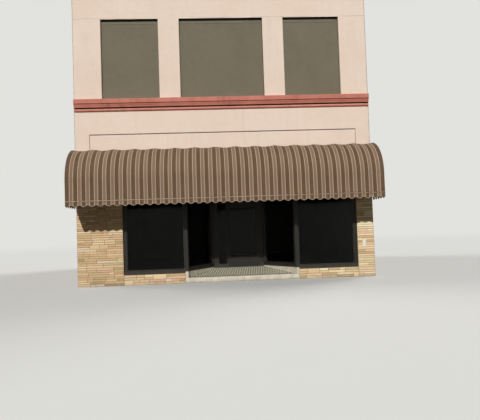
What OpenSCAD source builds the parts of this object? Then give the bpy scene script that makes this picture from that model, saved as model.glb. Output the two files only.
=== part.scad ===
// Two-storey corner shop building between party walls, in millimetres.
// X runs along the shopfront, the street is towards -Y, and Z = 0 is the pavement at the lowest corner.
// The origin lies under the middle of the plan.

/* [Building] */
// Width of the front over both party walls
front_w = 9140; // [8200:10:12000]
// Depth from the front face to the rear face
depth = 12200; // [7000:50:20000]
// Height from the pavement to the top of the coping
total_h = 9900; // [9200:10:12000]
// Thickness of the front and rear walls
wall_t = 300; // [230:10:450]
// Thickness of the party walls
party_t = 300; // [200:10:420]

/* [Floors] */
// Height of the shop floor above the pavement
shop_floor_z = 320; // [240:5:330]
// Height of the upper floor's surface
upper_floor_z = 4950; // [4750:10:5200]
// Thickness of the upper floor
upper_floor_t = 250; // [150:10:350]
// Height of the parapets over the roof's surface
parapet_h = 1000; // [600:10:1200]
// Thickness of the roof
roof_t = 250; // [120:10:350]

/* [Upper windows] */
// Width of each side window
side_window_w = 1766; // [900:2:1900]
// Width of the middle window
centre_window_w = 2608; // [1200:2:2700]
// Width of the wall between two windows
window_pier_w = 652; // [300:2:750]
// Height of the window sills, which is the top of the belt course
sill_z = 5745; // [5600:5:6000]
// Height of the window heads
head_z = 8240; // [7400:5:8400]
// How far the blocking panels stand behind the wall's face
panel_set_back = 100; // [40:5:160]
// Thickness of a blocking panel
panel_t = 50; // [20:5:70]

/* [Belt course] */
// Height of the moulding's broad top face
belt_top_h = 140; // [120:5:200]
// Height of the second face
belt_middle_h = 137; // [80:1:150]
// Height of the rounded member at the bottom
belt_bead_h = 130; // [70:1:140]
// Projection of the top face from the wall
belt_top_out = 120; // [90:5:200]
// Projection of the second face
belt_middle_out = 80; // [60:5:85]
// Projection of the rounded member
belt_bead_out = 45; // [20:5:55]
// Fall of the moulding's top towards its outer edge
belt_fall = 10; // [0:1:30]

/* [Recessed panel] */
// Width of wall left at each end of the recessed panel
panel_margin = 440; // [200:5:900]
// Height of the recessed panel's top edge
panel_top_z = 4635; // [4300:5:5000]
// How far the recessed panel lies behind the wall's face
panel_recess = 30; // [10:1:60]
// Thickness of the recessed panel
transom_panel_t = 120; // [60:5:200]

/* [Coping] */
// Thickness of the coping
coping_t = 80; // [40:5:150]
// How far the coping overhangs a wall's free faces
coping_over = 40; // [10:5:80]

/* [Shopfront] */
// Height of the stone facing
stone_top_z = 3300; // [3100:10:3700]
// Width of the left stone pier
left_pier_w = 1380; // [600:5:1500]
// Width of the left show window with its frame
left_window_w = 1961; // [1200:1:2000]
// Width of the entry at the street
entry_w = 3325; // [2800:1:3400]
// Width of the right stone pier
right_pier_w = 520; // [300:5:900]
// Height of the stone under the show windows
window_base_h = 305; // [200:5:500]
// Height of the underside of the beam over the shopfront
shop_head_z = 3000; // [2900:10:3080]
// How far the window frames stand behind the stone's face
frame_set_back = 60; // [20:5:90]
// Depth of a frame bar from front to back
frame_d = 100; // [60:5:115]
// Width of a jamb beside a pier
jamb_w = 100; // [60:5:150]
// Width of the square post at each corner of the entry
post_w = 115; // [115:5:180]
// Height of the bottom bars of the windows
rail_h = 120; // [60:5:150]
// Height of the top bars of the windows
head_rail_h = 100; // [60:5:150]
// Width of the upright bars of the splayed windows
return_stile_w = 50; // [40:5:110]
// Thickness of the window glass
glass_t = 10; // [5:1:16]

/* [Entry] */
// Distance from the front face back to the door wall
entry_d = 1800; // [1400:10:2200]
// Width of the door wall between the splayed sides
door_wall_w = 1680; // [1600:1:1900]
// Distance of the door wall's left end from the entry's left end
door_wall_off = 804; // [600:1:900]
// Height of the step at the street
step_h = 155; // [100:5:180]
// Height of the ramped floor at the door wall
ramp_top_z = 315; // [200:5:320]
// Thickness of the low walls under the splayed windows
return_base_t = 150; // [120:5:180]
// Height of those low walls
return_base_h = 350; // [325:5:450]
// Width of the block under each corner post
corner_block_w = 95; // [80:1:115]
// Thickness of the entry's ceiling
soffit_t = 60; // [30:5:150]

/* [Door frame] */
// Width of the posts at the two ends of the door wall
door_post_w = 170; // [100:5:200]
// Clear width of the sidelight
sidelight_w = 265; // [220:5:400]
// Width of the bar between the sidelight and the door
mullion_w = 45; // [35:1:80]
// Height of the bar over the door
door_head_h = 100; // [60:5:150]
// Height of the threshold plate over the shop floor
threshold_h = 12; // [6:1:20]
// How far the door stops reach into the opening
stop_w = 15; // [10:1:25]
// Thickness of the door stops from front to back
stop_t = 12; // [8:1:20]

/* [Door] */
// Height of the door leaf
leaf_h = 2134; // [1980:2:2200]
// Thickness of the door leaf
leaf_t = 45; // [40:1:60]
// Width of the leaf's upright bars
stile_w = 70; // [50:5:110]
// Height of the leaf's top bar
leaf_top_rail_h = 150; // [80:5:200]
// Height of the leaf's bottom plate
kick_h = 340; // [150:5:500]
// Gap between the leaf and the frame at the hinges and the head
hinge_gap = 6; // [5:0.5:8]
// Gap between the leaf and the frame at the handle side
latch_gap = 8; // [7:0.5:12]
// Gap between the leaf and the threshold
sill_gap = 8; // [6:0.5:12]
// Gap between the closed leaf and its stops
stop_gap = 5; // [5:0.5:8]

/* [Door hardware] */
// Distance of the hinge axis in front of the leaf
pivot_out = 14; // [14:1:20]
// Radius of a hinge knuckle
knuckle_r = 8; // [6:0.5:8]
// Height of one hinge knuckle
knuckle_h = 32; // [20:1:50]
// Running gap between two knuckles
knuckle_gap = 0.5; // [0.4:0.1:1]
// Width of a hinge plate
hinge_plate_w = 38; // [25:1:50]
// Thickness of a hinge plate
hinge_plate_t = 3; // [2:0.5:4]
// Distance of the outer hinges from the leaf's ends
hinge_inset = 240; // [180:5:400]
// Diameter of the door pull
pull_d = 25; // [18:1:32]
// Height of the door pull
pull_h = 320; // [200:10:500]
// Height of the pull's middle above the shop floor
pull_z = 1080; // [950:10:1150]
// Distance from the leaf's face to the middle of the pull
pull_out = 52; // [45:1:70]
// Diameter of the pull's stand-offs
stand_off_d = 16; // [12:1:18]

/* [Awning] */
// How far the awning reaches past the front at each end
awning_over = 30; // [0:5:60]
// Projection of the awning
awning_out = 1210; // [900:10:1500]
// Height at which the awning meets the wall
awning_wall_z = 4160; // [3900:10:4500]
// Height of the rounded part of the awning
awning_curve_h = 1050; // [700:10:1200]
// Height of the awning's lower seam
awning_seam_z = 2525; // [2450:5:2680]
// Thickness of the awning's skin
canopy_t = 12; // [6:1:20]
// Height of the valance below the seam
valance_h = 155; // [120:5:260]
// Depth of a scallop of the valance
scallop_d = 52; // [15:1:60]
// Width of one scallop, which is one repeat of the striped cloth
cloth_repeat = 233; // [150:1:400]
// Thickness of the valance
valance_t = 8; // [4:1:12]
// Side of the square tubes of the awning's frame
tube_w = 25; // [20:1:40]
// Number of ribs that carry the awning
rib_count = 16; // [4:1:20]

/* [Wall box] */
// Width of the small box on the right pier
box_w = 100; // [60:5:200]
// Height of the small box
box_h = 220; // [100:5:300]
// Projection of the small box
box_out = 45; // [20:5:100]
// Height of the small box's bottom edge
box_z = 920; // [600:10:1800]
// Distance of the small box's middle from the front's right end
box_off = 315; // [120:5:400]

/* [Hidden] */

LEFT = -1;
RIGHT = 1;
curve_steps = 16;
scallop_steps = 6;
bead_steps = 8;

wall_x = front_w / 2;
inner_x = wall_x - party_t;
front_y = -depth / 2;
rear_y = depth / 2;
front_in_y = front_y + wall_t;
rear_in_y = rear_y - wall_t;
wall_top_z = total_h - coping_t;
roof_z = total_h - parapet_h;

side_window_x = centre_window_w / 2 + window_pier_w;
belt_h = belt_top_h + belt_middle_h + belt_bead_h;
belt_bottom_z = sill_z - belt_h;

left_window_x = -wall_x + left_pier_w;
entry_left_x = left_window_x + left_window_w;
entry_right_x = entry_left_x + entry_w;
right_window_x = wall_x - right_pier_w;
frame_y = front_y + frame_set_back;
post_back_y = frame_y + post_w;
glass_z = window_base_h + rail_h;
glass_head_z = shop_head_z - head_rail_h;
return_glass_z = return_base_h + rail_h;
glass_in = (frame_d - glass_t) / 2;

door_wall_y = front_y + entry_d;
door_left_x = entry_left_x + door_wall_off;
door_right_x = door_left_x + door_wall_w;
door_frame_back_y = door_wall_y + frame_d;
sidelight_x = door_left_x + door_post_w;
mullion_x = sidelight_x + sidelight_w;
opening_left_x = mullion_x + mullion_w;
opening_right_x = door_right_x - door_post_w;
leaf_left_x = opening_left_x + latch_gap;
leaf_right_x = opening_right_x - hinge_gap;
leaf_z = shop_floor_z + threshold_h + sill_gap;
leaf_top_z = leaf_z + leaf_h;
leaf_back_y = door_wall_y + leaf_t;
door_head_z = leaf_top_z + hinge_gap;
transom_z = door_head_z + door_head_h;
stop_y = leaf_back_y + stop_gap;

pivot_x = opening_right_x - hinge_gap / 2;
pivot_y = door_wall_y - pivot_out;
hinge_h = 3 * knuckle_h + 2 * knuckle_gap;
hinge_zs = [leaf_z + hinge_inset,
            (leaf_z + leaf_top_z - hinge_h) / 2,
            leaf_top_z - hinge_inset - hinge_h];

awning_x = wall_x + awning_over;
awning_front_y = front_y - awning_out;
curve_z = awning_wall_z - awning_curve_h;
valance_tip_z = awning_seam_z - valance_h;
scallop_step = cloth_repeat / scallop_steps;

// A block between its lowest and highest corners
module block(low, high) {
    translate(low) cube(high - low);
}

// An outline in Y and Z drawn out along X
module along_x(x0, x1) {
    translate([x0, 0, 0]) rotate([90, 0, 90]) linear_extrude(x1 - x0) children();
}

// A slab with the plan outline given, between two heights
module slab(points, z0, z1) {
    translate([0, 0, z0]) linear_extrude(z1 - z0) polygon(points);
}

// Front and back ends of the entry's splayed side, and how its thickness reads along X
function splay_front(side) = side == LEFT ? entry_left_x : entry_right_x;
function splay_back(side) = side == LEFT ? door_left_x : door_right_x;
function splay_slope(side) = (splay_back(side) - splay_front(side)) / (door_wall_y - post_back_y);
function splay_x(side, y, out) = splay_front(side) + splay_slope(side) * (y - post_back_y)
    + side * out * sqrt(1 + pow(splay_slope(side), 2));

// A length of the splayed side, from out0 to out1 behind its face towards the entry
module splay_bar(side, y0, y1, out0, out1, z0, z1) {
    slab([[splay_x(side, y0, out0), y0], [splay_x(side, y1, out0), y1],
          [splay_x(side, y1, out1), y1], [splay_x(side, y0, out1), y0]], z0, z1);
}

module three_windows(y0, y1) {
    block([-side_window_x - side_window_w, y0, sill_z], [-side_window_x, y1, head_z]);
    block([-centre_window_w / 2, y0, sill_z], [centre_window_w / 2, y1, head_z]);
    block([side_window_x, y0, sill_z], [side_window_x + side_window_w, y1, head_z]);
}

module ground_floor() {
    color("silver")
    slab([[-inner_x, front_in_y], [left_window_x, front_in_y], [left_window_x, post_back_y],
          [splay_x(LEFT, post_back_y, return_base_t), post_back_y],
          [splay_x(LEFT, door_wall_y, return_base_t), door_wall_y],
          [splay_x(RIGHT, door_wall_y, return_base_t), door_wall_y],
          [splay_x(RIGHT, post_back_y, return_base_t), post_back_y],
          [right_window_x, post_back_y], [right_window_x, front_in_y], [inner_x, front_in_y],
          [inner_x, rear_in_y], [-inner_x, rear_in_y]], 0, shop_floor_z);
}

module entry_floor() {
    left_x = entry_left_x - corner_block_w;
    right_x = entry_right_x + corner_block_w;
    color("beige")
    intersection() {
        slab([[left_x, front_y], [right_x, front_y], [right_x, post_back_y],
              [entry_right_x, post_back_y], [door_right_x, door_wall_y],
              [door_left_x, door_wall_y], [entry_left_x, post_back_y],
              [left_x, post_back_y]], 0, ramp_top_z);
        along_x(left_x, right_x)
            polygon([[front_y, 0], [door_wall_y, 0], [door_wall_y, ramp_top_z],
                     [post_back_y, step_h], [front_y, step_h]]);
    }
}

module party_wall(side) {
    color("rosybrown")
    block([side == LEFT ? -wall_x : inner_x, front_in_y, 0],
          [side == LEFT ? -inner_x : wall_x, rear_in_y, wall_top_z]);
}

module front_upper_wall() {
    color("bisque")
    difference() {
        block([-wall_x, front_y, stone_top_z], [wall_x, front_in_y, wall_top_z]);
        block([-wall_x + panel_margin, front_y - 1, stone_top_z - 1],
              [wall_x - panel_margin, front_in_y + 1, panel_top_z]);
        three_windows(front_y - 1, front_in_y + 1);
    }
}

module transom_panel() {
    color("bisque")
    block([-wall_x + panel_margin, front_y + panel_recess, stone_top_z],
          [wall_x - panel_margin, front_y + panel_recess + transom_panel_t, panel_top_z]);
}

module shopfront_beam() {
    color("dimgray")
    block([left_window_x, front_y, shop_head_z], [right_window_x, front_in_y, stone_top_z]);
}

module left_stone_pier() {
    color("burlywood")
    block([-wall_x, front_y, 0], [left_window_x, front_in_y, stone_top_z]);
}

module right_stone_pier() {
    color("burlywood")
    block([right_window_x, front_y, 0], [wall_x, front_in_y, stone_top_z]);
}

module left_stone_base() {
    color("burlywood")
    block([left_window_x, front_y, 0],
          [entry_left_x - corner_block_w, post_back_y, window_base_h]);
}

module right_stone_base() {
    color("burlywood")
    block([entry_right_x + corner_block_w, front_y, 0],
          [right_window_x, post_back_y, window_base_h]);
}

module rear_stone_wall() {
    color("burlywood")
    block([-wall_x, rear_in_y, 0], [wall_x, rear_y, stone_top_z]);
}

module rear_upper_wall() {
    color("bisque")
    difference() {
        block([-wall_x, rear_in_y, stone_top_z], [wall_x, rear_y, wall_top_z]);
        three_windows(rear_in_y - 1, rear_y + 1);
    }
}

module upper_floor() {
    color("tan")
    block([-inner_x, front_in_y, upper_floor_z - upper_floor_t],
          [inner_x, rear_in_y, upper_floor_z]);
}

module roof_deck() {
    color("gray")
    block([-inner_x, front_in_y, roof_z - roof_t], [inner_x, rear_in_y, roof_z]);
}

// Section of the belt course, in distance from the wall and height
function belt_section() = concat(
    [[0, sill_z], [belt_top_out, sill_z - belt_fall], [belt_top_out, sill_z - belt_top_h],
     [belt_middle_out, sill_z - belt_top_h], [belt_middle_out, belt_bottom_z + belt_bead_h],
     [belt_bead_out, belt_bottom_z + belt_bead_h]],
    [for (i = [0 : bead_steps]) let (a = 90 * i / bead_steps)
        [belt_bead_out * cos(a), belt_bottom_z + belt_bead_out * (1 - sin(a))]]);

module belt_course(wall_face_y, side) {
    color("indianred")
    along_x(-wall_x, wall_x)
        polygon([for (p = belt_section()) [wall_face_y + side * p[0], p[1]]]);
}

module front_coping() {
    color("lightgray")
    block([-wall_x, front_y - coping_over, wall_top_z],
          [wall_x, front_in_y + coping_over, total_h]);
}

module rear_coping() {
    color("lightgray")
    block([-wall_x, rear_in_y - coping_over, wall_top_z],
          [wall_x, rear_y + coping_over, total_h]);
}

module party_wall_copings() {
    color("lightgray")
    for (side = [LEFT, RIGHT]) {
        outer = side * wall_x;
        inner = side * (inner_x - coping_over);
        block([min(outer, inner), front_in_y + coping_over, wall_top_z],
              [max(outer, inner), rear_in_y - coping_over, total_h]);
    }
}

module window_panel(x, w, face_y) {
    color("darkkhaki")
    block([x, face_y, sill_z], [x + w, face_y + panel_t, head_z]);
}

module rear_window_panels() {
    face_y = rear_y - panel_set_back - panel_t;
    window_panel(-side_window_x - side_window_w, side_window_w, face_y);
    window_panel(-centre_window_w / 2, centre_window_w, face_y);
    window_panel(side_window_x, side_window_w, face_y);
}

// A show window's frame: a jamb at the pier, bars at sill and head, a square post at the entry
module show_window_frame(x0, x1, jamb_side) {
    jamb_x = jamb_side == LEFT ? x0 : x1 - jamb_w;
    post_x = jamb_side == LEFT ? x1 - post_w : x0;
    color("dimgray") {
        block([x0, frame_y, window_base_h], [x1, frame_y + frame_d, glass_z]);
        block([x0, frame_y, glass_head_z], [x1, frame_y + frame_d, shop_head_z]);
        block([jamb_x, frame_y, window_base_h], [jamb_x + jamb_w, frame_y + frame_d, shop_head_z]);
        block([post_x, frame_y, window_base_h], [post_x + post_w, post_back_y, shop_head_z]);
    }
}

module show_window_glass(x0, x1) {
    color("lightblue", 0.5)
    block([x0, frame_y + glass_in, glass_z], [x1, frame_y + glass_in + glass_t, glass_head_z]);
}

module return_frame(side) {
    y1 = post_back_y + return_stile_w;
    y2 = door_wall_y - return_stile_w;
    color("dimgray") {
        splay_bar(side, post_back_y, door_wall_y, 0, frame_d, return_base_h, return_glass_z);
        splay_bar(side, post_back_y, door_wall_y, 0, frame_d, glass_head_z, shop_head_z);
        splay_bar(side, post_back_y, y1, 0, frame_d, return_base_h, shop_head_z);
        splay_bar(side, y2, door_wall_y, 0, frame_d, return_base_h, shop_head_z);
    }
}

module return_glass(side) {
    color("lightblue", 0.5)
    splay_bar(side, post_back_y + return_stile_w, door_wall_y - return_stile_w,
              glass_in, glass_in + glass_t, return_glass_z, glass_head_z);
}

// The low wall under a splayed window, with the block under the corner post
module return_base(side) {
    outer_x = splay_front(side) + side * corner_block_w;
    x0 = min(splay_front(side), outer_x);
    color("antiquewhite") {
        splay_bar(side, post_back_y, door_wall_y, 0, return_base_t, 0, return_base_h);
        block([x0, front_y, step_h], [x0 + corner_block_w, post_back_y, window_base_h]);
        block([x0, front_y, window_base_h], [x0 + corner_block_w, frame_y, return_base_h]);
    }
}

module door_frame() {
    left_end_x = splay_x(LEFT, door_wall_y, frame_d);
    right_end_x = splay_x(RIGHT, door_wall_y, frame_d);
    color("dimgray") {
        block([left_end_x, door_wall_y, shop_floor_z], [sidelight_x, door_frame_back_y, shop_head_z]);
        block([opening_right_x, door_wall_y, shop_floor_z],
              [right_end_x, door_frame_back_y, shop_head_z]);
        block([sidelight_x, door_wall_y, glass_head_z],
              [opening_right_x, door_frame_back_y, shop_head_z]);
        block([sidelight_x, door_wall_y, door_head_z],
              [opening_right_x, door_frame_back_y, transom_z]);
        block([mullion_x, door_wall_y, shop_floor_z],
              [opening_left_x, door_frame_back_y, door_head_z]);
        block([sidelight_x, door_wall_y, shop_floor_z],
              [mullion_x, door_frame_back_y, shop_floor_z + rail_h]);
        block([opening_left_x, door_wall_y, shop_floor_z],
              [opening_right_x, door_frame_back_y, shop_floor_z + threshold_h]);
        block([opening_left_x, stop_y, shop_floor_z],
              [opening_left_x + stop_w, stop_y + stop_t, door_head_z]);
        block([opening_right_x - stop_w, stop_y, shop_floor_z],
              [opening_right_x, stop_y + stop_t, door_head_z]);
        block([opening_left_x, stop_y, door_head_z - stop_w],
              [opening_right_x, stop_y + stop_t, door_head_z]);
    }
}

module entry_glass() {
    y0 = door_wall_y + glass_in;
    color("lightblue", 0.5) {
        block([sidelight_x, y0, shop_floor_z + rail_h], [mullion_x, y0 + glass_t, door_head_z]);
        block([sidelight_x, y0, transom_z], [opening_right_x, y0 + glass_t, glass_head_z]);
    }
}

module entry_soffit() {
    color("tan")
    slab([[splay_x(LEFT, front_in_y, frame_d), front_in_y],
          [splay_x(RIGHT, front_in_y, frame_d), front_in_y],
          [splay_x(RIGHT, door_wall_y, frame_d), door_wall_y],
          [splay_x(RIGHT, door_wall_y, frame_d), door_frame_back_y],
          [splay_x(LEFT, door_wall_y, frame_d), door_frame_back_y],
          [splay_x(LEFT, door_wall_y, frame_d), door_wall_y]],
         shop_head_z, shop_head_z + soffit_t);
}

// Outline of the awning from the wall, over the curve and down to the seam, set in by some way
function awning_line(inset) = concat(
    [for (i = [0 : curve_steps]) let (a = 90 - 90 * i / curve_steps)
        [front_y - (awning_out - inset) * cos(a), curve_z + (awning_curve_h - inset) * sin(a)]],
    [[front_y - awning_out + inset, awning_seam_z]]);

function reversed(points) = [for (i = [len(points) - 1 : -1 : 0]) points[i]];

module awning_band(x0, x1, inset0, inset1) {
    along_x(x0, x1) polygon(concat(awning_line(inset0), reversed(awning_line(inset1))));
}

module awning_canopy() {
    color("sienna") {
        awning_band(-awning_x, awning_x, 0, canopy_t);
        for (x = [-awning_x, awning_x - canopy_t])
            along_x(x, x + canopy_t)
                polygon(concat(awning_line(0), [[front_y, awning_seam_z]]));
    }
}

// One rib: the curved tube, the arm at the seam and the upright on the wall
module awning_rib(x) {
    inset = canopy_t + tube_w;
    awning_band(x, x + tube_w, canopy_t, inset);
    block([x, awning_front_y + canopy_t, awning_seam_z], [x + tube_w, front_y, awning_seam_z + tube_w]);
    block([x, front_y - tube_w, awning_seam_z], [x + tube_w, front_y, awning_wall_z - inset]);
}

module awning_frame() {
    first_x = -awning_x + canopy_t;
    pitch = (2 * (awning_x - canopy_t) - tube_w) / (rib_count - 1);
    front_tube_y = awning_front_y + canopy_t;
    wall_tube_z = awning_wall_z - canopy_t - 2 * tube_w;
    color("slategray") {
        for (i = [0 : rib_count - 1]) awning_rib(first_x + i * pitch);
        block([first_x, front_tube_y, awning_seam_z],
              [-first_x, front_tube_y + tube_w, awning_seam_z + tube_w]);
        block([first_x, front_y - tube_w, awning_seam_z],
              [-first_x, front_y, awning_seam_z + tube_w]);
        block([first_x, front_y - tube_w, wall_tube_z], [-first_x, front_y, wall_tube_z + tube_w]);
    }
}

// A point of the valance's scalloped edge, with its distance along the cloth from the awning's middle
function valance_edge(u) =
    [u, valance_tip_z + scallop_d * (1 + cos(360 * u / cloth_repeat)) / 2];

// Outline of a stretch of the valance between two distances along the cloth
function valance_outline(u0, u1) = concat(
    [[u0, awning_seam_z], valance_edge(u0)],
    [for (i = [floor(u0 / scallop_step) + 1 : ceil(u1 / scallop_step) - 1])
        valance_edge(i * scallop_step)],
    [valance_edge(u1), [u1, awning_seam_z]]);

module awning_valance() {
    color("sienna") {
        translate([0, awning_front_y + valance_t, 0])
            rotate([90, 0, 0]) linear_extrude(valance_t)
                polygon(valance_outline(-awning_x, awning_x));
        for (x = [-awning_x, awning_x - valance_t])
            translate([0, awning_front_y - awning_x, 0])
                along_x(x, x + valance_t)
                    polygon(valance_outline(awning_x, awning_x + awning_out));
    }
}

module wall_box() {
    x = wall_x - box_off - box_w / 2;
    color("white")
    block([x, front_y - box_out, box_z], [x + box_w, front_y, box_z + box_h]);
}

// Knuckle and plate of a hinge, with the plate on the given side of the axis
module hinge_part(z, side) {
    plate_x = side == LEFT ? leaf_right_x : opening_right_x;
    web_x = pivot_x + side * knuckle_r;
    end_x = plate_x + side * hinge_plate_w;
    translate([pivot_x, pivot_y, z]) cylinder(h = knuckle_h, r = knuckle_r, $fn = 32);
    block([min(plate_x, web_x), pivot_y, z], [max(plate_x, web_x), door_wall_y, z + knuckle_h]);
    block([min(plate_x, end_x), door_wall_y - hinge_plate_t, z],
          [max(plate_x, end_x), door_wall_y, z + knuckle_h]);
}

module frame_hinges() {
    color("gray")
    for (z = hinge_zs) {
        hinge_part(z, RIGHT);
        hinge_part(z + 2 * (knuckle_h + knuckle_gap), RIGHT);
    }
}

module door_hinges() {
    color("gray")
    for (z = hinge_zs) hinge_part(z + knuckle_h + knuckle_gap, LEFT);
}

module door_leaf() {
    color("dimgray")
    difference() {
        block([leaf_left_x, door_wall_y, leaf_z], [leaf_right_x, leaf_back_y, leaf_top_z]);
        block([leaf_left_x + stile_w, door_wall_y - 1, leaf_z + kick_h],
              [leaf_right_x - stile_w, leaf_back_y + 1, leaf_top_z - leaf_top_rail_h]);
    }
}

module door_glass() {
    y0 = door_wall_y + (leaf_t - glass_t) / 2;
    color("lightblue", 0.5)
    block([leaf_left_x + stile_w, y0, leaf_z + kick_h],
          [leaf_right_x - stile_w, y0 + glass_t, leaf_top_z - leaf_top_rail_h]);
}

// A pull on one face of the leaf, standing out to the given side
module door_pull(face_y, side) {
    x = leaf_left_x + stile_w / 2;
    z0 = shop_floor_z + pull_z - pull_h / 2;
    bar_y = face_y + side * pull_out;
    translate([x, bar_y, z0]) cylinder(h = pull_h, d = pull_d, $fn = 32);
    for (z = [z0 + pull_d, z0 + pull_h - pull_d])
        translate([x, min(face_y, bar_y), z])
            rotate([-90, 0, 0]) cylinder(h = pull_out, d = stand_off_d, $fn = 24);
}

module door_pulls() {
    color("lightgray") {
        door_pull(door_wall_y, -1);
        door_pull(leaf_back_y, 1);
    }
}

ground_floor();
entry_floor();
party_wall(LEFT);  // left_party_wall
party_wall(RIGHT);  // right_party_wall
front_upper_wall();
transom_panel();
shopfront_beam();
left_stone_pier();
right_stone_pier();
left_stone_base();
right_stone_base();
rear_stone_wall();
rear_upper_wall();
upper_floor();
roof_deck();
belt_course(front_y, -1);  // front_belt_course
belt_course(rear_y, 1);  // rear_belt_course
front_coping();
rear_coping();
party_wall_copings();
window_panel(-side_window_x - side_window_w, side_window_w, front_y + panel_set_back);  // front_left_window_panel
window_panel(-centre_window_w / 2, centre_window_w, front_y + panel_set_back);  // front_centre_window_panel
window_panel(side_window_x, side_window_w, front_y + panel_set_back);  // front_right_window_panel
rear_window_panels();
show_window_frame(left_window_x, entry_left_x, LEFT);  // left_window_frame
show_window_glass(left_window_x + jamb_w, entry_left_x - post_w);  // left_window_glass
show_window_frame(entry_right_x, right_window_x, RIGHT);  // right_window_frame
show_window_glass(entry_right_x + post_w, right_window_x - jamb_w);  // right_window_glass
return_frame(LEFT);  // left_return_frame
return_glass(LEFT);  // left_return_glass
return_frame(RIGHT);  // right_return_frame
return_glass(RIGHT);  // right_return_glass
return_base(LEFT);  // left_return_base
return_base(RIGHT);  // right_return_base
door_frame();
entry_glass();
entry_soffit();
awning_frame();
awning_canopy();
awning_valance();
wall_box();
frame_hinges();
door_leaf();
door_glass();
door_pulls();
door_hinges();
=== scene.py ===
"""Finishes and fine parts of a two-storey corner shop building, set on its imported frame."""

import logging
import math
import random
from collections.abc import Callable, Iterable
from dataclasses import dataclass, field, replace
from enum import Enum
from functools import cached_property
from itertools import product
from typing import Any

import bmesh
import bpy
from mathutils import Matrix, Vector, noise


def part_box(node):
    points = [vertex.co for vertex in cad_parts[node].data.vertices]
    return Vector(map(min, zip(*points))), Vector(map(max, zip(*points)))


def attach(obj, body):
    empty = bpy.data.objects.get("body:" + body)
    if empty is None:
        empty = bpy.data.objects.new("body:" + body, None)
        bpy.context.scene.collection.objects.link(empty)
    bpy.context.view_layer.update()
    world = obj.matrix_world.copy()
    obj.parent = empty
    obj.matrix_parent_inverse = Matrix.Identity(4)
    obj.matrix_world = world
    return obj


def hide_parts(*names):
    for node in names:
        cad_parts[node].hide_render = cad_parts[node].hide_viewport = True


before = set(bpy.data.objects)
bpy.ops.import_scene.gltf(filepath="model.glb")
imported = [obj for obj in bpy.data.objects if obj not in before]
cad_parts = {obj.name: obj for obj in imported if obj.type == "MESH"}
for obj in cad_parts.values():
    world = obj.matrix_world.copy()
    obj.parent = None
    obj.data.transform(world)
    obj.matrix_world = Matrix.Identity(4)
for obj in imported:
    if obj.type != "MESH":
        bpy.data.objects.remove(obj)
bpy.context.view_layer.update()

SHARP_ANGLE = 0.5
SQUARE_ON = 0.9
PARAPET_COAT = 0.008

Pair = tuple[float, float]
Point = tuple[float, float, float]
Span = tuple[float, float, float, float]
Knot = tuple[Point, Pair]
Station = tuple[float, float, float, float, float]
Colour = tuple[float, float, float]
Node = bpy.types.Node
Socket = bpy.types.NodeSocket
Tree = bpy.types.NodeTree
Mesh = bpy.types.Mesh
Piece = bpy.types.Object

log = logging.getLogger("corner_shop")


class Body(Enum):
    """The bodies that pieces ride on."""

    BUILDING = "building"
    DOOR = "door"


class Slot(Enum):
    """Material slots of the record."""

    STUCCO = "stucco"
    STONE = "stone_facing"
    CONCRETE = "concrete"
    PALE_CONCRETE = "pale_concrete"
    COPING = "coping_stone"
    BRICK = "brick"
    BELT = "belt_paint"
    PANEL = "panel_paint"
    BOARDS = "floor_boards"
    SOFFIT = "soffit_board"
    ROOFING = "roofing"
    FRAME = "frame_metal"
    CLOTH = "awning_cloth"
    PLASTIC = "box_plastic"
    HARDWARE = "hardware_metal"


class Facing(Enum):
    """The way a wall faces, as a turn about the upright axis from the street side."""

    STREET = 0.0
    RIGHT = math.pi / 2
    REAR = math.pi
    LEFT = -math.pi / 2

    @property
    def outward(self) -> Vector:
        """Direction that the wall faces."""
        return Matrix.Rotation(self.value, 3, "Z") @ Vector((0, -1, 0))


def linear(colour: Colour) -> tuple[float, float, float, float]:
    """Linear colour with alpha, from a colour in steps of 255."""
    shares = [value / 255 for value in colour]
    red, green, blue = (s / 12.92 if s <= 0.04045 else ((s + 0.055) / 1.055) ** 2.4 for s in shares)
    return red, green, blue, 1.0


def mixed(low: float, high: float, share: float) -> float:
    """Value that lies the given share of the way from low to high."""
    return low + (high - low) * share


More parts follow.
